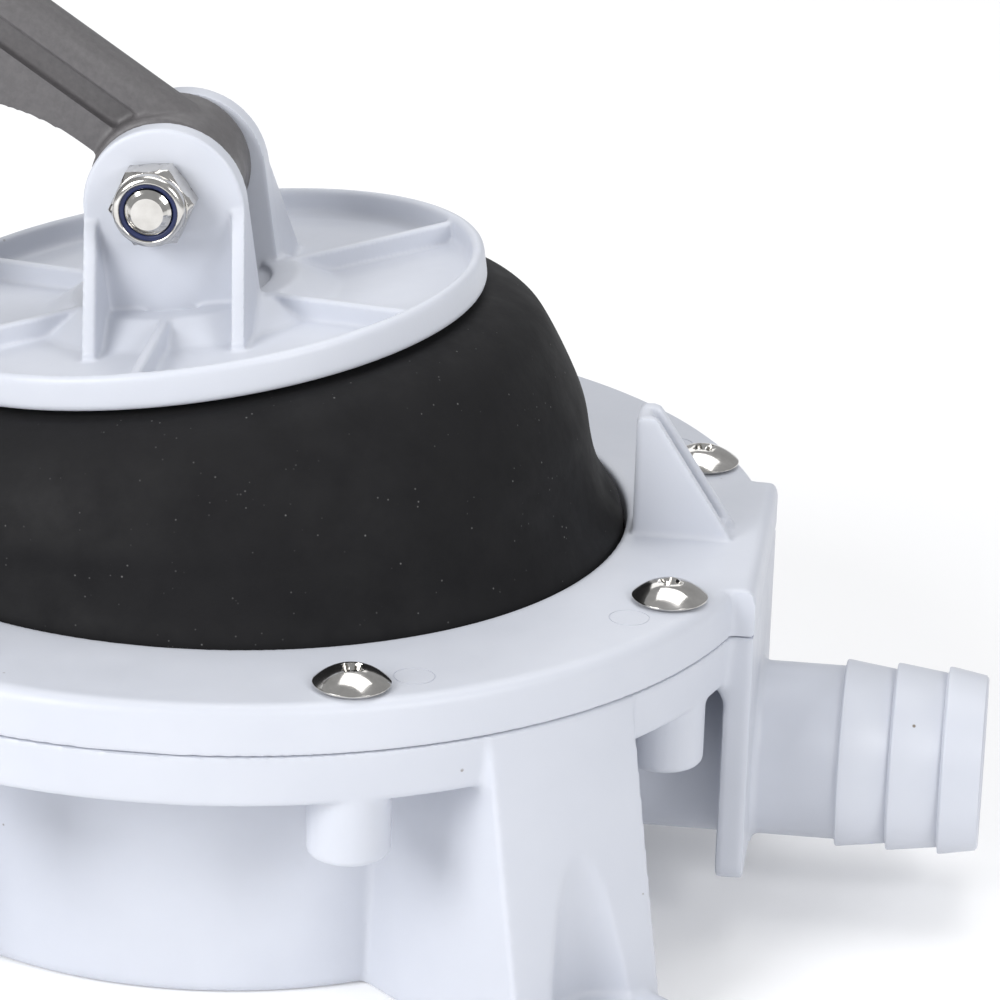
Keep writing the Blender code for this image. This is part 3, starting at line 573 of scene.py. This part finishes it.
def aluminium():
    """Drawn tube: fine lines along it."""
    m = Nodes("drawn aluminium")
    lines = m.noise(60, 4, 0.7, stretch=(1, 40, 1))
    m.colour(m.ramp(lines, [(0.3, (0.62, 0.63, 0.645)), (0.7, (0.74, 0.75, 0.765))]))
    m.roughness(m.span(lines, 0.24, 0.38, 0.3, 0.7))
    m.set(Metallic=1.0)
    m.bump((lines, 0.006))
    return m.material


def floor_paint():
    m = Nodes("pale floor")
    m.colour(m.ramp(m.noise(3, 3), [(0.2, (0.885, 0.885, 0.89)), (0.8, (0.905, 0.905, 0.91))]))
    m.set(Roughness=0.6, Specular_IOR_Level=0.2, Emission_Color=(1, 1, 1, 1), Emission_Strength=0.12)
    return m.material


# ---------------------------------------------------------------- body and clamp ring


def leg(angle):
    """Leg with a face on a cone, which flares towards the foot, and a screwdriver channel above the pad."""
    columns = 48
    rows = 40
    top = PARTING_Z - PARTING_GAP
    flare = (LEG_FOOT_R - FLANGE_R) / PARTING_Z
    rings = []
    for i in range(columns + 1):
        off = LEG_HALF_WIDTH * (2 * i / columns - 1)
        inner, outer = [], []
        for j in range(rows + 1):
            z = top * j / rows
            radius = LEG_FOOT_R - flare * z
            reach = math.sqrt(radius * radius - off * off)
            if abs(off) < DRIVER_R and z > FOOT_HEIGHT - 2:
                reach = min(reach, FOOT_CENTRE_R - math.sqrt(DRIVER_R * DRIVER_R - off * off))
            inner.append(Vector((LEG_INNER, off, z)))
            outer.append(Vector((reach, off, z)))
        rings.append(inner + outer[::-1])
    bm = bmesh.new()
    loops = [[bm.verts.new(point) for point in ring] for ring in rings]
    count = len(loops[0])
    for a, b in zip(loops, loops[1:]):
        for k in range(count):
            after = (k + 1) % count
            bm.faces.new((a[k], a[after], b[after], b[k]))
    for loop in (loops[0], loops[-1]):
        for j in range(rows):
            bm.faces.new((loop[j], loop[j + 1], loop[count - 2 - j], loop[count - 1 - j]))
    bmesh.ops.recalc_face_normals(bm, faces=bm.faces)
    bm.transform(Matrix.Rotation(angle, 4, "Z"))
    return bm


def rounded_plate(side, top):
    """Flat plate across one side of the flange, with rounded lower corners."""
    low = SIDE_PLATE_BOTTOM
    corner = SIDE_PLATE_CORNER
    near, far = sorted((side * SIDE_PLATE_X[0], side * SIDE_PLATE_X[1]))
    half = SIDE_PLATE_HALF
    section = filleted([(-half, low, corner), (half, low, corner), (half, top), (-half, top)], 6)
    turn = Matrix.Rotation(math.pi / 2, 4, "Z")
    return prism(section, -far, -near, turn)


def plate_brackets(side):
    """Concave fillets between a side plate and the flange's underside."""
    radius = 4.0
    base = PARTING_Z - 9.3
    x = side * SIDE_PLATE_X[0]
    curve = arc((x - side * radius, base - radius), radius, 90 - side * 90, 90, 6)
    inside = x + side * 1.5
    top = base + 1.5
    points = [(inside, base - radius), *curve, (x - side * radius, top), (inside, top)]
    return prism(points, -SIDE_PLATE_HALF + 0.5, SIDE_PLATE_HALF - 0.5)


def hose_tail(side):
    """Hose tail with saw-tooth barbs, a small fillet at the side plate and an open bore."""
    points = [(PORT_BORE_R, 93.0), (PORT_BORE_R, PORT_END - 0.7), (PORT_BORE_R + 0.7, PORT_END)]
    points += arc((14.7, PORT_END - 0.7), 0.7, 90, 10, 4)
    ends = [PORT_END, *reversed(BARB_STARTS)]
    for start, end in zip(reversed(BARB_STARTS), ends):
        points.append((15.5, end - 0.4))
        points += [(BARB_R - 0.05, start + 0.9), *arc((BARB_R - 0.35, start + 0.35), 0.35, 0, -90, 4)]
        points += [(PORT_R + 0.25, start), (PORT_R, start - 0.3)]
    points += arc((PORT_R + 1.6, SIDE_PLATE_X[1] + 1.6), 1.6, 180, 270, 6)
    points.append((PORT_R + 1.6, 93.0))
    return turned(points, 128, along_x(side))


def inner_port(side):
    """Tube between the bowl and the side plate."""
    section = [(PORT_BORE_R, 61.0), (PORT_R, 61.0), (PORT_R, 94.0), (PORT_BORE_R, 94.0)]
    return turned(section, 96, along_x(side))


def make_body(material):
    top = PARTING_Z - PARTING_GAP
    shell = filleted(
        [
            (0, BOWL_FLOOR), (CHAMBER_FLOOR_R, BOWL_FLOOR, 4.0), (CHAMBER_R, BEAD_SEAT_Z),
            (BEAD_OUTER_R, BEAD_SEAT_Z), (BEAD_OUTER_R, top), (FLANGE_R, top, 0.3),
            (94.3, FLANGE_UNDERSIDE, 1.2), (66.0, FLANGE_UNDERSIDE, 2.5), (64.7, 0, 2.2), (0, 0),
        ],
        6,
    )
    shapes = [turned(shell, 256)]
    pad = filleted([(0, 0), (FOOT_R, 0, 0.5), (FOOT_R, FOOT_HEIGHT, 3.0), (0, FOOT_HEIGHT)], 6)
    for angle in LEG_ANGLES:
        shapes.append(leg(angle))
        shapes.append(turned(pad, 64, Matrix.Translation(polar(FOOT_CENTRE_R, angle))))
    low, high = SCREW_BOSS_BOTTOM, FLANGE_UNDERSIDE + 2
    boss = filleted([(0, low), (SCREW_BOSS_R, low, 1.0), (SCREW_BOSS_R, high), (0, high)], 5)
    for angle in SCREW_ANGLES:
        shapes.append(turned(boss, 48, Matrix.Translation(polar(SCREW_CIRCLE_R, angle))))
    for side in (-1, 1):
        shapes += [rounded_plate(side, top), plate_brackets(side), inner_port(side)]
    holes = []
    inside = LEG_HALF_WIDTH - LEG_WALL
    for angle in LEG_ANGLES:
        turn = Matrix.Rotation(angle, 4, "Z")
        holes.append(block((LEG_CORE_X[0], -inside, -5), (LEG_CORE_X[1], inside, LEG_CORE_TOP), turn))
        holes.append(rod(FOOT_HOLE_R, -5, 12, at=polar(FOOT_CENTRE_R, angle)[:2], segments=32))
    for side in (-1, 1):
        low, high = sorted((side * 45, side * 100))
        holes.append(rod(PORT_BORE_R, low, high, along_x(1), segments=64))
    body = moulded("pump_body_moulding", shapes, holes, pitch=0.62, rounding=4, keep=0.24)
    place_piece(body, "body", "grey_plastic", material, "pump_body")
    for side, name in ((1, "outlet"), (-1, "inlet")):
        tail = smooth_by_angle(as_object(f"{name}_hose_tail", [hose_tail(side)]), 50)
        place_piece(tail, "body", "grey_plastic", material, "pump_body")


def make_ring(material):
    bottom = PARTING_Z + PARTING_GAP
    section = filleted(
        [
            (RING_INNER_R, BEAD_ROOF_Z), (RING_INNER_R, RING_TOP, 0.8), (FLANGE_R, RING_TOP, 2.2),
            (FLANGE_R, bottom, 0.3), (BEAD_OUTER_R, bottom), (BEAD_OUTER_R, BEAD_ROOF_Z),
        ],
        6,
    )
    shapes = [turned(section, 256)]
    for side in (-1, 1):
        near, far = sorted((side * 80.5, side * SIDE_PLATE_X[1]))
        if side > 0:
            edge = filleted([(near, bottom), (far, bottom, 0.3), (far, RING_TOP, 2.0), (near, RING_TOP)], 5)
        else:
            edge = filleted([(near, bottom, 0.3), (far, bottom), (far, RING_TOP), (near, RING_TOP, 2.0)], 5)
        shapes.append(prism(edge, -SIDE_PLATE_HALF, SIDE_PLATE_HALF))
    root = RING_TOP - 2
    tip = RING_TOP + BRACKET_HEIGHT
    fin = filleted(
        [(BRACKET_X, root), (BRACKET_X, tip, 0.8), (74.9, tip, 1.2), (88.5, RING_TOP + 0.8), (88.5, root)], 4
    )
    for side in (-1, 1):
        low, high = sorted((side * 2.1, side * 4.3))
        shapes.append(prism(fin, low, high))
    shapes.append(block((BRACKET_X, -3, root), (73.9, 3, tip - 0.2)))
    shapes.append(block((85.5, -3, root), (87.7, 3, RING_TOP + 1.6)))
    lug = arc((FULCRUM.x, FULCRUM.z), LUG_R, 0, 180, 24)
    lug += [(FULCRUM.x - LUG_R, root), (FULCRUM.x + LUG_R, root)]
    web = [(0, root), (9.5, root), (9.5, RING_TOP + 0.8), (0, RING_TOP + 13)]
    for side in (-1, 1):
        low, high = sorted(side * face for face in LUG_FACES)
        shapes.append(prism(lug, low, high))
        stand = Matrix.Translation((FULCRUM.x + 7.5, side * 13.3, 0)) @ Matrix.Rotation(math.pi / 2, 4, "Z")
        points = web if side > 0 else [(-x, z) for x, z in reversed(web)]
        shapes.append(prism(points, 0, 2.4, stand))
    holes = [rod(BOLT_HOLE_R, -30, 30, along_y(FULCRUM))]
    near, far = EJECTOR_MARK
    for i, angle in enumerate(SCREW_ANGLES):
        # A faint round ejector mark beside each screw.
        beside = polar(SCREW_CIRCLE_R - 1.2, angle + math.radians(-7.3 if i % 2 else 7.3))
        groove = [(near, RING_TOP - 0.1), (far, RING_TOP - 0.1), (far, RING_TOP + 1), (near, RING_TOP + 1)]
        holes.append(turned(groove, 64, Matrix.Translation(beside)))
        holes.append(rod(SCREW_HOLE_R, 50, 70, at=polar(SCREW_CIRCLE_R, angle)[:2], segments=24))
    ring = moulded("clamp_ring_moulding", shapes, holes, pitch=0.5, rounding=3, keep=0.35)
    place_piece(ring, "body", "grey_plastic", material, "clamp_ring")


# ---------------------------------------------------------------- fasteners


def make_screws(material):
    """Truss-head screws with a cross recess."""
    seat = RING_TOP + CONTACT_GAP
    height = SCREW_HEAD_HEIGHT
    dome = [(0, 39.5), (SCREW_SHANK_R, 41.5), (SCREW_SHANK_R, seat)]
    dome += [(SCREW_HEAD_R - 0.35, seat), (SCREW_HEAD_R, seat + 0.35)]
    steps = 12
    for k in range(steps):
        share = math.cos(0.5 * math.pi * (k + 1) / (steps + 1))
        dome.append((SCREW_HEAD_R * share, seat + 0.5 + (height - 0.5) * (1 - share ** 2.2)))
    dome.append((0, seat + height))
    for i, angle in enumerate(SCREW_ANGLES):
        # The recesses point every way, as on screws tightened by hand.
        spun = Matrix.Rotation(angle + 0.3 + i * 1.1, 4, "Z")
        place = Matrix.Translation(polar(SCREW_CIRCLE_R, angle)) @ spun
        recess = []
        for turn in (0, math.pi / 2):
            spin = place @ Matrix.Rotation(turn, 4, "Z")
            deep = seat + height - 2.0
            slot = [(-2.75, seat + 5), (-1.5, deep), (1.5, deep), (2.75, seat + 5)]
            recess.append(prism(slot, -0.5, 0.5, spin))
        recess.append(rod(0.5, seat + height - 2.4, seat + 6, place, segments=20, top_radius=3.0))
        screw = machined(f"flange_screw_{i + 1}_polished", [turned(dome, 64, place)], recess, 0.1, 40)
        place_piece(screw, "body", "stainless_steel", material, f"flange_screw_{i + 1}")


def hexagon(across_flats, low, high, place, turn=0.0, chamfer=0.7):
    """Hexagonal prism whose corners are chamfered at both ends."""
    radius = across_flats / math.sqrt(3)
    flat = across_flats / 2
    bm = bmesh.new()
    rings = []
    levels = [(low, flat - 0.1), (low + chamfer, radius), (high - chamfer, radius), (high, flat - 0.1)]
    segments = 72
    for z, limit in levels:
        ring = []
        for k in range(segments):
            angle = 2 * math.pi * k / segments
            # The angle from the middle of the flat that this point is on.
            wedge = (angle + math.pi / 6) % (math.pi / 3) - math.pi / 6
            side = flat / math.cos(wedge)
            ring.append(bm.verts.new(polar(min(side, limit), angle + turn, z)))
        rings.append(ring)
    for a, b in zip(rings, rings[1:]):
        for k in range(segments):
            after = (k + 1) % segments
            bm.faces.new((a[k], a[after], b[after], b[k]))
    bm.faces.new(rings[0][::-1])
    bm.faces.new(rings[-1])
    bmesh.ops.recalc_face_normals(bm, faces=bm.faces)
    bm.transform(place)
    return bm


def threaded_end(radius, tip, length, place, pitch=1.25):
    """The end of a bolt: a chamfered tip and rings of thread above it."""
    points = [(0, tip), (radius - 1.2, tip), (radius - 0.55, tip + 0.65)]
    z = tip + 0.65
    while z + pitch < tip + length:
        points += [(radius - 0.6, z + 0.12), (radius, z + 0.55), (radius, z + 0.7), (radius - 0.6, z + 1.13)]
        z += pitch
    points += [(radius, z + 0.4), (radius, tip + length + 0.5), (0, tip + length + 0.5)]
    return turned(points, 64, place)


def make_bolt_set(name, body, place, seats, tip, turns, metal, plastic):
    """M8 bolt and lock nut on one axis. The nut's nylon ring shows at its open end."""
    head_seat, nut_seat = seats
    top = head_seat + BOLT_HEAD_HEIGHT
    threads = THREAD_LENGTH
    shank = [
        (0, tip + threads), (BOLT_R, tip + threads), (BOLT_R, head_seat), (6.0, head_seat), (6.0, top - 1),
        (0, top - 1),
    ]
    head = hexagon(HEX_WIDTH, head_seat, top, place, turns[0])
    bolt = machined(f"{name}_bolt_polished", [head], (), 0.15)
    place_piece(bolt, body, "stainless_steel", metal, f"{name}_bolt")
    stem_shapes = [turned(shank, 48, place), threaded_end(BOLT_R, tip, threads, place)]
    stem = smooth_by_angle(as_object(f"{name}_bolt_stem", stem_shapes), 40)
    place_piece(stem, body, "stainless_steel", metal, f"{name}_bolt")

    hexed = hexagon(HEX_WIDTH, nut_seat - NUT_HEX_HEIGHT, nut_seat, place, turns[1])
    bore = rod(NUT_BORE_R, nut_seat - 9, nut_seat + 2, place)
    nut = machined(f"{name}_nut_polished", [hexed], [bore], 0.15)
    place_piece(nut, body, "stainless_steel", metal, f"{name}_nut")
    low = nut_seat - NUT_HEIGHT
    collar = filleted(
        [
            (5.6, nut_seat - 5.0), (6.3, nut_seat - 5.0), (6.3, low, 1.1), (5.0, low, 0.3),
            (5.0, low + 0.6, 0.2), (5.6, low + 0.6),
        ],
        5,
    )
    lip = smooth_by_angle(as_object(f"{name}_nut_collar", [turned(collar, 72, place)]), 50)
    place_piece(lip, body, "stainless_steel", metal, f"{name}_nut")
    ring = filleted(
        [(4.15, nut_seat - 5.6), (5.3, nut_seat - 5.6), (5.3, low + 0.45, 0.2), (4.15, low + 0.45, 0.4)], 4
    )
    insert = smooth_by_angle(as_object(f"{name}_nut_nylon_ring", [turned(ring, 64, place)]), 50)
    place_piece(insert, body, "blue_nylon", plastic, f"{name}_nut_insert")


def make_hardware(metal, plastic):
    flip = Matrix.Rotation(math.pi, 4, "X")
    clevis = along_y(PIN) @ flip
    make_bolt_set("clevis", "plate", clevis, (13.8, -13.8), -22.7, (0.17, 0.40), metal, plastic)
    fulcrum = along_y(FULCRUM) @ flip
    make_bolt_set("fulcrum", "body", fulcrum, (14.1, -14.1), -23.0, (0.07, 0.30), metal, plastic)
    # Under the plate come the rubber and the lower plate, with a gap on each side of the rubber.
    lower = PLATE_BOTTOM - RUBBER_THICKNESS - 2 * CONTACT_GAP - LOWER_PLATE_THICKNESS
    washer_top = lower - CONTACT_GAP
    washer_bottom = washer_top - WASHER_THICKNESS
    nut_seat = washer_bottom - CONTACT_GAP
    seats = (-1.9, nut_seat)
    make_bolt_set("centre", "plate", PLATE_FRAME, seats, nut_seat - 9.0, (0.0, 0.2), metal, plastic)
    section = filleted(
        [
            (4.4, washer_bottom, 0.2), (11, washer_bottom, 0.3), (11, washer_top, 0.3),
            (4.4, washer_top, 0.2),
        ],
        3,
    )
    washer = smooth_by_angle(as_object("centre_washer_polished", [turned(section, 64, PLATE_FRAME)]), 50)
    place_piece(washer, "plate", "stainless_steel", metal, "centre_washer")


# ---------------------------------------------------------------- diaphragm and plate


def tilted_ring(radius, centre, tilt, segments):
    spin = Matrix.Rotation(-tilt, 4, "Y")
    return [centre + spin @ polar(radius, 2 * math.pi * k / segments) for k in range(segments)]


def catmull(values, position):
    """Smooth curve through a list of tuples, at a position from 0 to its last index."""
    i = min(int(position), len(values) - 2)
    t = position - i
    a, b, c, d = (values[max(0, min(len(values) - 1, i + k))] for k in (-1, 0, 1, 2))
    return tuple(
        0.5 * (2 * q + (r - p) * t + (2 * p - 5 * q + 4 * r - s) * t * t + (3 * q - p - 3 * r + s) * t ** 3)
        for p, q, r, s in zip(a, b, c, d)
    )


def make_diaphragm(material):
    """Rubber sleeve between the ring and the tilted plate, with soft folds where it leaves the ring."""
    segments = 192
    per_span = 7

    def from_plate(radius, height):
        centre = PLATE_FRAME @ Vector((0, 0, height))
        return (radius, centre.x, centre.z, math.degrees(PLATE_TILT))

    outside = [
        (69.5, 0.0, 59.8, 0.0), (69.35, 0.0, 62.6, 0.0), (69.2, -0.1, 65.8, 0.1), (67.8, -1.5, 69.8, 1.2),
        (66.6, -2.7, 75.5, 3.2), (65.9, -4.3, 81.0, 5.1), from_plate(62.6, -17.0), from_plate(59.9, -12.3),
        from_plate(55.5, -8.8), from_plate(50.2, -7.35), from_plate(30.0, -7.3),
    ]
    count = (len(outside) - 1) * per_span
    rings = []
    for n in range(count + 1):
        radius, x, z, tilt = catmull(outside, n / per_span)
        ring = tilted_ring(radius, Vector((x, 0, z)), math.radians(tilt), segments)
        fold = math.exp(-(((z - 72.5) / 5.5) ** 2))
        for k, point in enumerate(ring):
            angle = 2 * math.pi * k / segments
            outward = Vector((math.cos(angle), math.sin(angle), 0))
            wave = noise.noise(Vector((3.2 * math.cos(angle), 3.2 * math.sin(angle), z * 0.04)))
            # The sleeve dips in above the ring on the +X side, where it is slack.
            slack = max(0.0, math.cos(angle)) ** 6
            ring[k] = point + outward * (fold * (0.25 * wave - 1.1 * slack))
        rings.append(ring)
    inside = [tilted_ring(r, Vector((x, 0, z)), math.radians(t), segments) for r, x, z, t in (
        from_plate(30.0, -9.75), from_plate(49.8, -9.8), from_plate(54.0, -11.1), from_plate(57.6, -13.8),
        from_plate(60.0, -17.8), (63.3, -4.3, 81.0, 5.1), (64.0, -2.7, 75.5, 3.2), (65.2, -1.5, 69.8, 1.2),
        (66.7, 0, 65.0, 0), (67.0, 0, 56.4, 0), (79.6, 0, 56.0, 0), (79.6, 0, 59.7, 0), (70.5, 0, 59.7, 0),
    )]
    obj = as_object("diaphragm_sleeve", [lofted(rings + inside)])
    smooth_by_angle(obj, 60)
    obj.data.materials.append(material)
    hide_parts("diaphragm")
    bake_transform(obj)


def make_plate(material):
    floor = -4.8
    bottom = PLATE_BOTTOM
    rim = PLATE_RIM_R
    section = filleted(
        [
            (0, -2.2), (15, -2.2, 0.4), (15, -1.0, 0.3), (20, -1.0, 1.5), (26.5, floor, 4.0),
            (49.9, floor, 1.6), (50.3, 0, 0.9), (rim, 0, 1.15), (rim, -6.3, 1.2), (48, -6.3),
            (48, bottom, 1.0), (0, bottom),
        ],
        6,
    )
    shapes = [turned(section, 256, PLATE_FRAME)]
    low = floor - 1
    for i in range(6):
        spin = PLATE_FRAME @ Matrix.Rotation(math.radians(30 + 60 * i), 4, "Z")
        shapes.append(prism([(18, low), (50.8, low), (50.8, -0.9), (18, -0.9)], -0.95, 0.95, spin))
    ear = arc((EAR_SHIFT, PIN_ABOVE_RIM - EAR_DROP), EAR_HALF_WIDTH, 0, 180, 40)
    ear += [(EAR_SHIFT - EAR_HALF_WIDTH, low), (EAR_SHIFT + EAR_HALF_WIDTH, low)]
    for side in (-1, 1):
        near, far = sorted(side * face for face in EAR_FACES)
        shapes.append(prism(ear, near, far, PLATE_FRAME))
        for edge in (-1, 1):
            web = [(13.0, low), (29.0, low), (29.0, floor + 1.2), (13.0, GUSSET_TOP)]
            points = web if side > 0 else [(-x, z) for x, z in reversed(web)]
            low_x, high_x = sorted((EAR_SHIFT + edge * 11.75, EAR_SHIFT + edge * (EAR_HALF_WIDTH + 0.1)))
            turn = PLATE_FRAME @ Matrix.Rotation(math.pi / 2, 4, "Z")
            shapes.append(prism(points, -high_x, -low_x, turn))
    holes = [rod(BOLT_HOLE_R, -30, 30, along_y(PIN)), rod(BOLT_HOLE_R, -20, 5, PLATE_FRAME)]
    plate = moulded(
        "diaphragm_plate_moulding", shapes, holes, pitch=0.4, rounding=4, keep=0.4, grid=PLATE_FRAME
    )
    place_piece(plate, "plate", "grey_plastic", material, "diaphragm_plate")


# ---------------------------------------------------------------- lever and handle


def lever_outline(fulcrum):
    """Side view of the lever's slab in its own frame: the arm, and the arched leg down to the fulcrum."""
    first = arc((15, -47.6), 45, 90, 65, 8)
    reach = Vector((math.cos(math.radians(65)), math.sin(math.radians(65))))
    centre = (first[-1][0] - 20 * reach.x, first[-1][1] - 20 * reach.y)
    second = arc(centre, 20, 65, -14, 14)[1:]
    shape = [(0, 9.0), (0, -2.6)] + first + second
    shape += [
        (fulcrum.x - 8, fulcrum.z + 3), (fulcrum.x, fulcrum.z), (fulcrum.x + 9, fulcrum.z - 1), (59.5, -32),
        (63, -24), (70, HANDLE_RISE - 14), (70, HANDLE_RISE), (62, 9.0),
    ]
    return shape


def make_lever(material, brass_metal, metal, aluminium_metal, grip_rubber):
    fulcrum = LEVER_FRAME.inverted() @ FULCRUM
    slab = as_object("lever_slab", [prism(lever_outline(fulcrum), -SLAB_HALF, SLAB_HALF, LEVER_FRAME)])
    pocket = filleted(
        [
            (39, 3.0), (39, 9.4, 0.8), (47, 9.4, 1.5), (52, 0, 4), (54, -30, 6), (46.5, -58, 1.5),
            (41, -57, 1.5), (48, -31, 6), (46, -14, 8), (43, -3, 4),
        ],
        5,
    )
    recesses = []
    for side in (-1, 1):
        low, high = sorted((side * 3.5, side * 9))
        recesses.append(prism(pocket, low, high, LEVER_FRAME))
        recesses.append(block((-1, low, 3.0), (39.5, high, 9.5), LEVER_FRAME))
    cut(slab, recesses)
    shape = bmesh.new()
    shape.from_mesh(slab.data)
    shape.transform(Matrix.Scale(1 / MM, 4))
    bpy.data.objects.remove(slab, do_unlink=True)
    bead = filleted([(-6, 7.3, 0.6), (6, 7.3, 0.6), (6, 12.6, 4.6), (-6, 12.6, 4.6)], 8)
    across = LEVER_FRAME @ Matrix.Rotation(-math.pi / 2, 4, "Z")
    socket = filleted([(0, 110), (SOCKET_R, 110, 1.6), (SOCKET_R, 56, 7), (0, 50)], 8)
    shapes = [shape, prism(bead, 0, 62, across)]
    for radius, centre in ((CLEVIS_HUB_R, PIN), (FULCRUM_HUB_R, FULCRUM)):
        hub = filleted([(0, -HUB_HALF), (radius, -HUB_HALF, 0.8), (radius, HUB_HALF, 0.8), (0, HUB_HALF)], 5)
        shapes.append(turned(hub, 128, along_y(centre)))
    shapes.append(turned(socket, 128, HANDLE_FRAME))
    holes = [
        rod(BUSH_HOLE_R, -20, 20, along_y(PIN)), rod(BUSH_HOLE_R, -20, 20, along_y(FULCRUM)),
        rod(11.2, 60, 120, HANDLE_FRAME), rod(2.8, 0, 30, LEVER_FRAME, at=(LOCK_SCREW_X, 0)),
    ]
    lever = moulded("lever_moulding", shapes, holes, pitch=0.5, rounding=3, keep=0.45, grid=LEVER_FRAME)
    place_piece(lever, "lever", "dark_grey_plastic", material, "lever")

    section = filleted(
        [
            (BUSH_BORE_R, -HUB_HALF, 0.3), (BUSH_R, -HUB_HALF, 0.3), (BUSH_R, HUB_HALF, 0.3),
            (BUSH_BORE_R, HUB_HALF, 0.3),
        ],
        3,
    )
    for name, centre in (("clevis", PIN), ("fulcrum", FULCRUM)):
        bush = smooth_by_angle(as_object(f"{name}_bush_turned", [turned(section, 64, along_y(centre))]), 50)
        place_piece(bush, "lever", "brass", brass_metal, f"{name}_bush")

    low, high = TUBE_ENDS
    wall = filleted(
        [(TUBE_BORE_R, low, 0.3), (TUBE_R, low, 0.4), (TUBE_R, high, 0.4), (TUBE_BORE_R, high, 0.3)], 3
    )
    tube = smooth_by_angle(as_object("handle_tube_drawn", [turned(wall, 96, HANDLE_FRAME)]), 50)
    place_piece(tube, "lever", "aluminium_tube", aluminium_metal, "handle_tube")

    grip = [(GRIP_BORE_R, 300.3), (0, 300.3), (0, 306)]
    grip += arc((10.5, 302.5), 3.5, 90, 0, 8)
    start, end = 203.0, 296.0
    for k in range(GRIP_RIBS, -1, -1):
        z = start + (end - start) * k / GRIP_RIBS
        grip += [(GRIP_R, z + 1.5), (13.35, z + 0.8), (13.35, z - 0.4), (GRIP_R, z - 1.1)]
    grip += [(GRIP_R, 198), *arc((GRIP_R, 195.0), 1.6, 90, -90, 8)]
    grip += [(GRIP_R, 192.6), (13.4, 192.0), (GRIP_BORE_R, 192.0)]
    cover = smooth_by_angle(as_object("handle_grip_cover", [turned(grip, 96, HANDLE_FRAME)]), 50)
    place_piece(cover, "lever", "grip_rubber", grip_rubber, "handle_grip")

    top = HANDLE_RISE + SOCKET_R + CONTACT_GAP
    place = LEVER_FRAME @ Matrix.Translation((LOCK_SCREW_X, 0, 0))
    head = [(0, HANDLE_RISE + 6), (2.4, HANDLE_RISE + 7), (2.4, top), (4.6, top), (4.6, top + 0.7)]
    head += [(4.6 * math.cos(a), top + 0.7 + 1.9 * math.sin(a)) for a in (0.25, 0.5, 0.8, 1.1, 1.35)]
    head.append((0, top + 2.6))
    slot = block((-5, -0.5, top + 1.4), (5, 0.5, top + 4), place @ Matrix.Rotation(0.6, 4, "Z"))
    lock = machined("handle_lock_screw_polished", [turned(head, 48, place)], [slot], 0.08)
    place_piece(lock, "lever", "stainless_steel", metal, "handle_lock_screw")


# ---------------------------------------------------------------- scene


def paint_frame(materials):
    """Gives each CAD node that stays visible its material."""
    slots = {entry["node"]: entry["material_slot"] for entry in frame["record"]["subparts"]}
    for name, obj in frame["nodes"].items():
        obj.data.materials.clear()
        obj.data.materials.append(materials[slots[name]])


def area_light(name, place, target, size, power):
    """White light at place, in metres, that points at target."""
    light = bpy.data.lights.new(name, "AREA")
    light.shape = "RECTANGLE"
    light.size, light.size_y = size
    light.energy = power
    obj = bpy.data.objects.new(name, light)
    obj.location = place
    obj.rotation_euler = (Vector(target) - Vector(place)).to_track_quat("-Z", "Y").to_euler()
    bpy.context.scene.collection.objects.link(obj)


def make_stage():
    floor = as_object("floor", [block((-FLOOR_HALF, -FLOOR_HALF, -20), (FLOOR_HALF, FLOOR_HALF, 0))])
    floor.data.materials.append(floor_paint())
    centre = (0.0, 0.0, 0.07)
    area_light("key", (-0.95, -1.1, 0.8), centre, (0.8, 0.8), 19)
    area_light("fill", (1.15, -1.0, 0.9), centre, (0.6, 0.6), 10)
    area_light("top", (0.1, 0.35, 1.5), centre, (1.2, 0.9), 8)
    area_light("back", (-0.2, 1.2, 0.9), centre, (1.0, 0.5), 2)
    world = bpy.data.worlds.new("studio")
    world.use_nodes = True
    background = world.node_tree.nodes["Background"]
    background.inputs["Color"].default_value = (0.97, 0.98, 1.0, 1)
    background.inputs["Strength"].default_value = 0.42
    bpy.context.scene.world = world
    bpy.context.scene.view_settings.view_transform = "Standard"


def make_camera():
    ahead = Vector(
        (
            math.sin(CAMERA_AZIMUTH) * math.cos(CAMERA_ELEVATION),
            math.cos(CAMERA_AZIMUTH) * math.cos(CAMERA_ELEVATION),
            -math.sin(CAMERA_ELEVATION),
        )
    )
    right = Vector((math.cos(CAMERA_AZIMUTH), -math.sin(CAMERA_AZIMUTH), 0))
    up = right.cross(ahead)
    level = Matrix((right, up, -ahead)).transposed().to_4x4()
    data = bpy.data.cameras.new("camera")
    data.lens = CAMERA_LENS
    data.sensor_width = 36
    data.clip_start = 0.01
    camera = bpy.data.objects.new("camera", data)
    camera.matrix_world = Matrix.Translation(CAMERA_PLACE * MM) @ level @ Matrix.Rotation(CAMERA_ROLL, 4, "Z")
    bpy.context.scene.collection.objects.link(camera)
    bpy.context.scene.camera = camera


materials = {
    "grey_plastic": grey_plastic(),
    "dark_grey_plastic": dark_plastic(),
    "black_plastic": black_plastic(),
    "diaphragm_rubber": rubber(),
    "grip_rubber": rubber("grip rubber", 0.4),
    "stainless_steel": steel(),
    "blue_nylon": nylon(),
    "brass": brass(),
    "aluminium_tube": aluminium(),
}
make_camera()
make_stage()
paint_frame(materials)
make_body(materials["grey_plastic"])
make_ring(materials["grey_plastic"])
make_screws(materials["stainless_steel"])
make_hardware(materials["stainless_steel"], materials["blue_nylon"])
make_diaphragm(materials["diaphragm_rubber"])
make_plate(materials["grey_plastic"])
make_lever(
    materials["dark_grey_plastic"], materials["brass"], materials["stainless_steel"],
    materials["aluminium_tube"], materials["grip_rubber"],
)
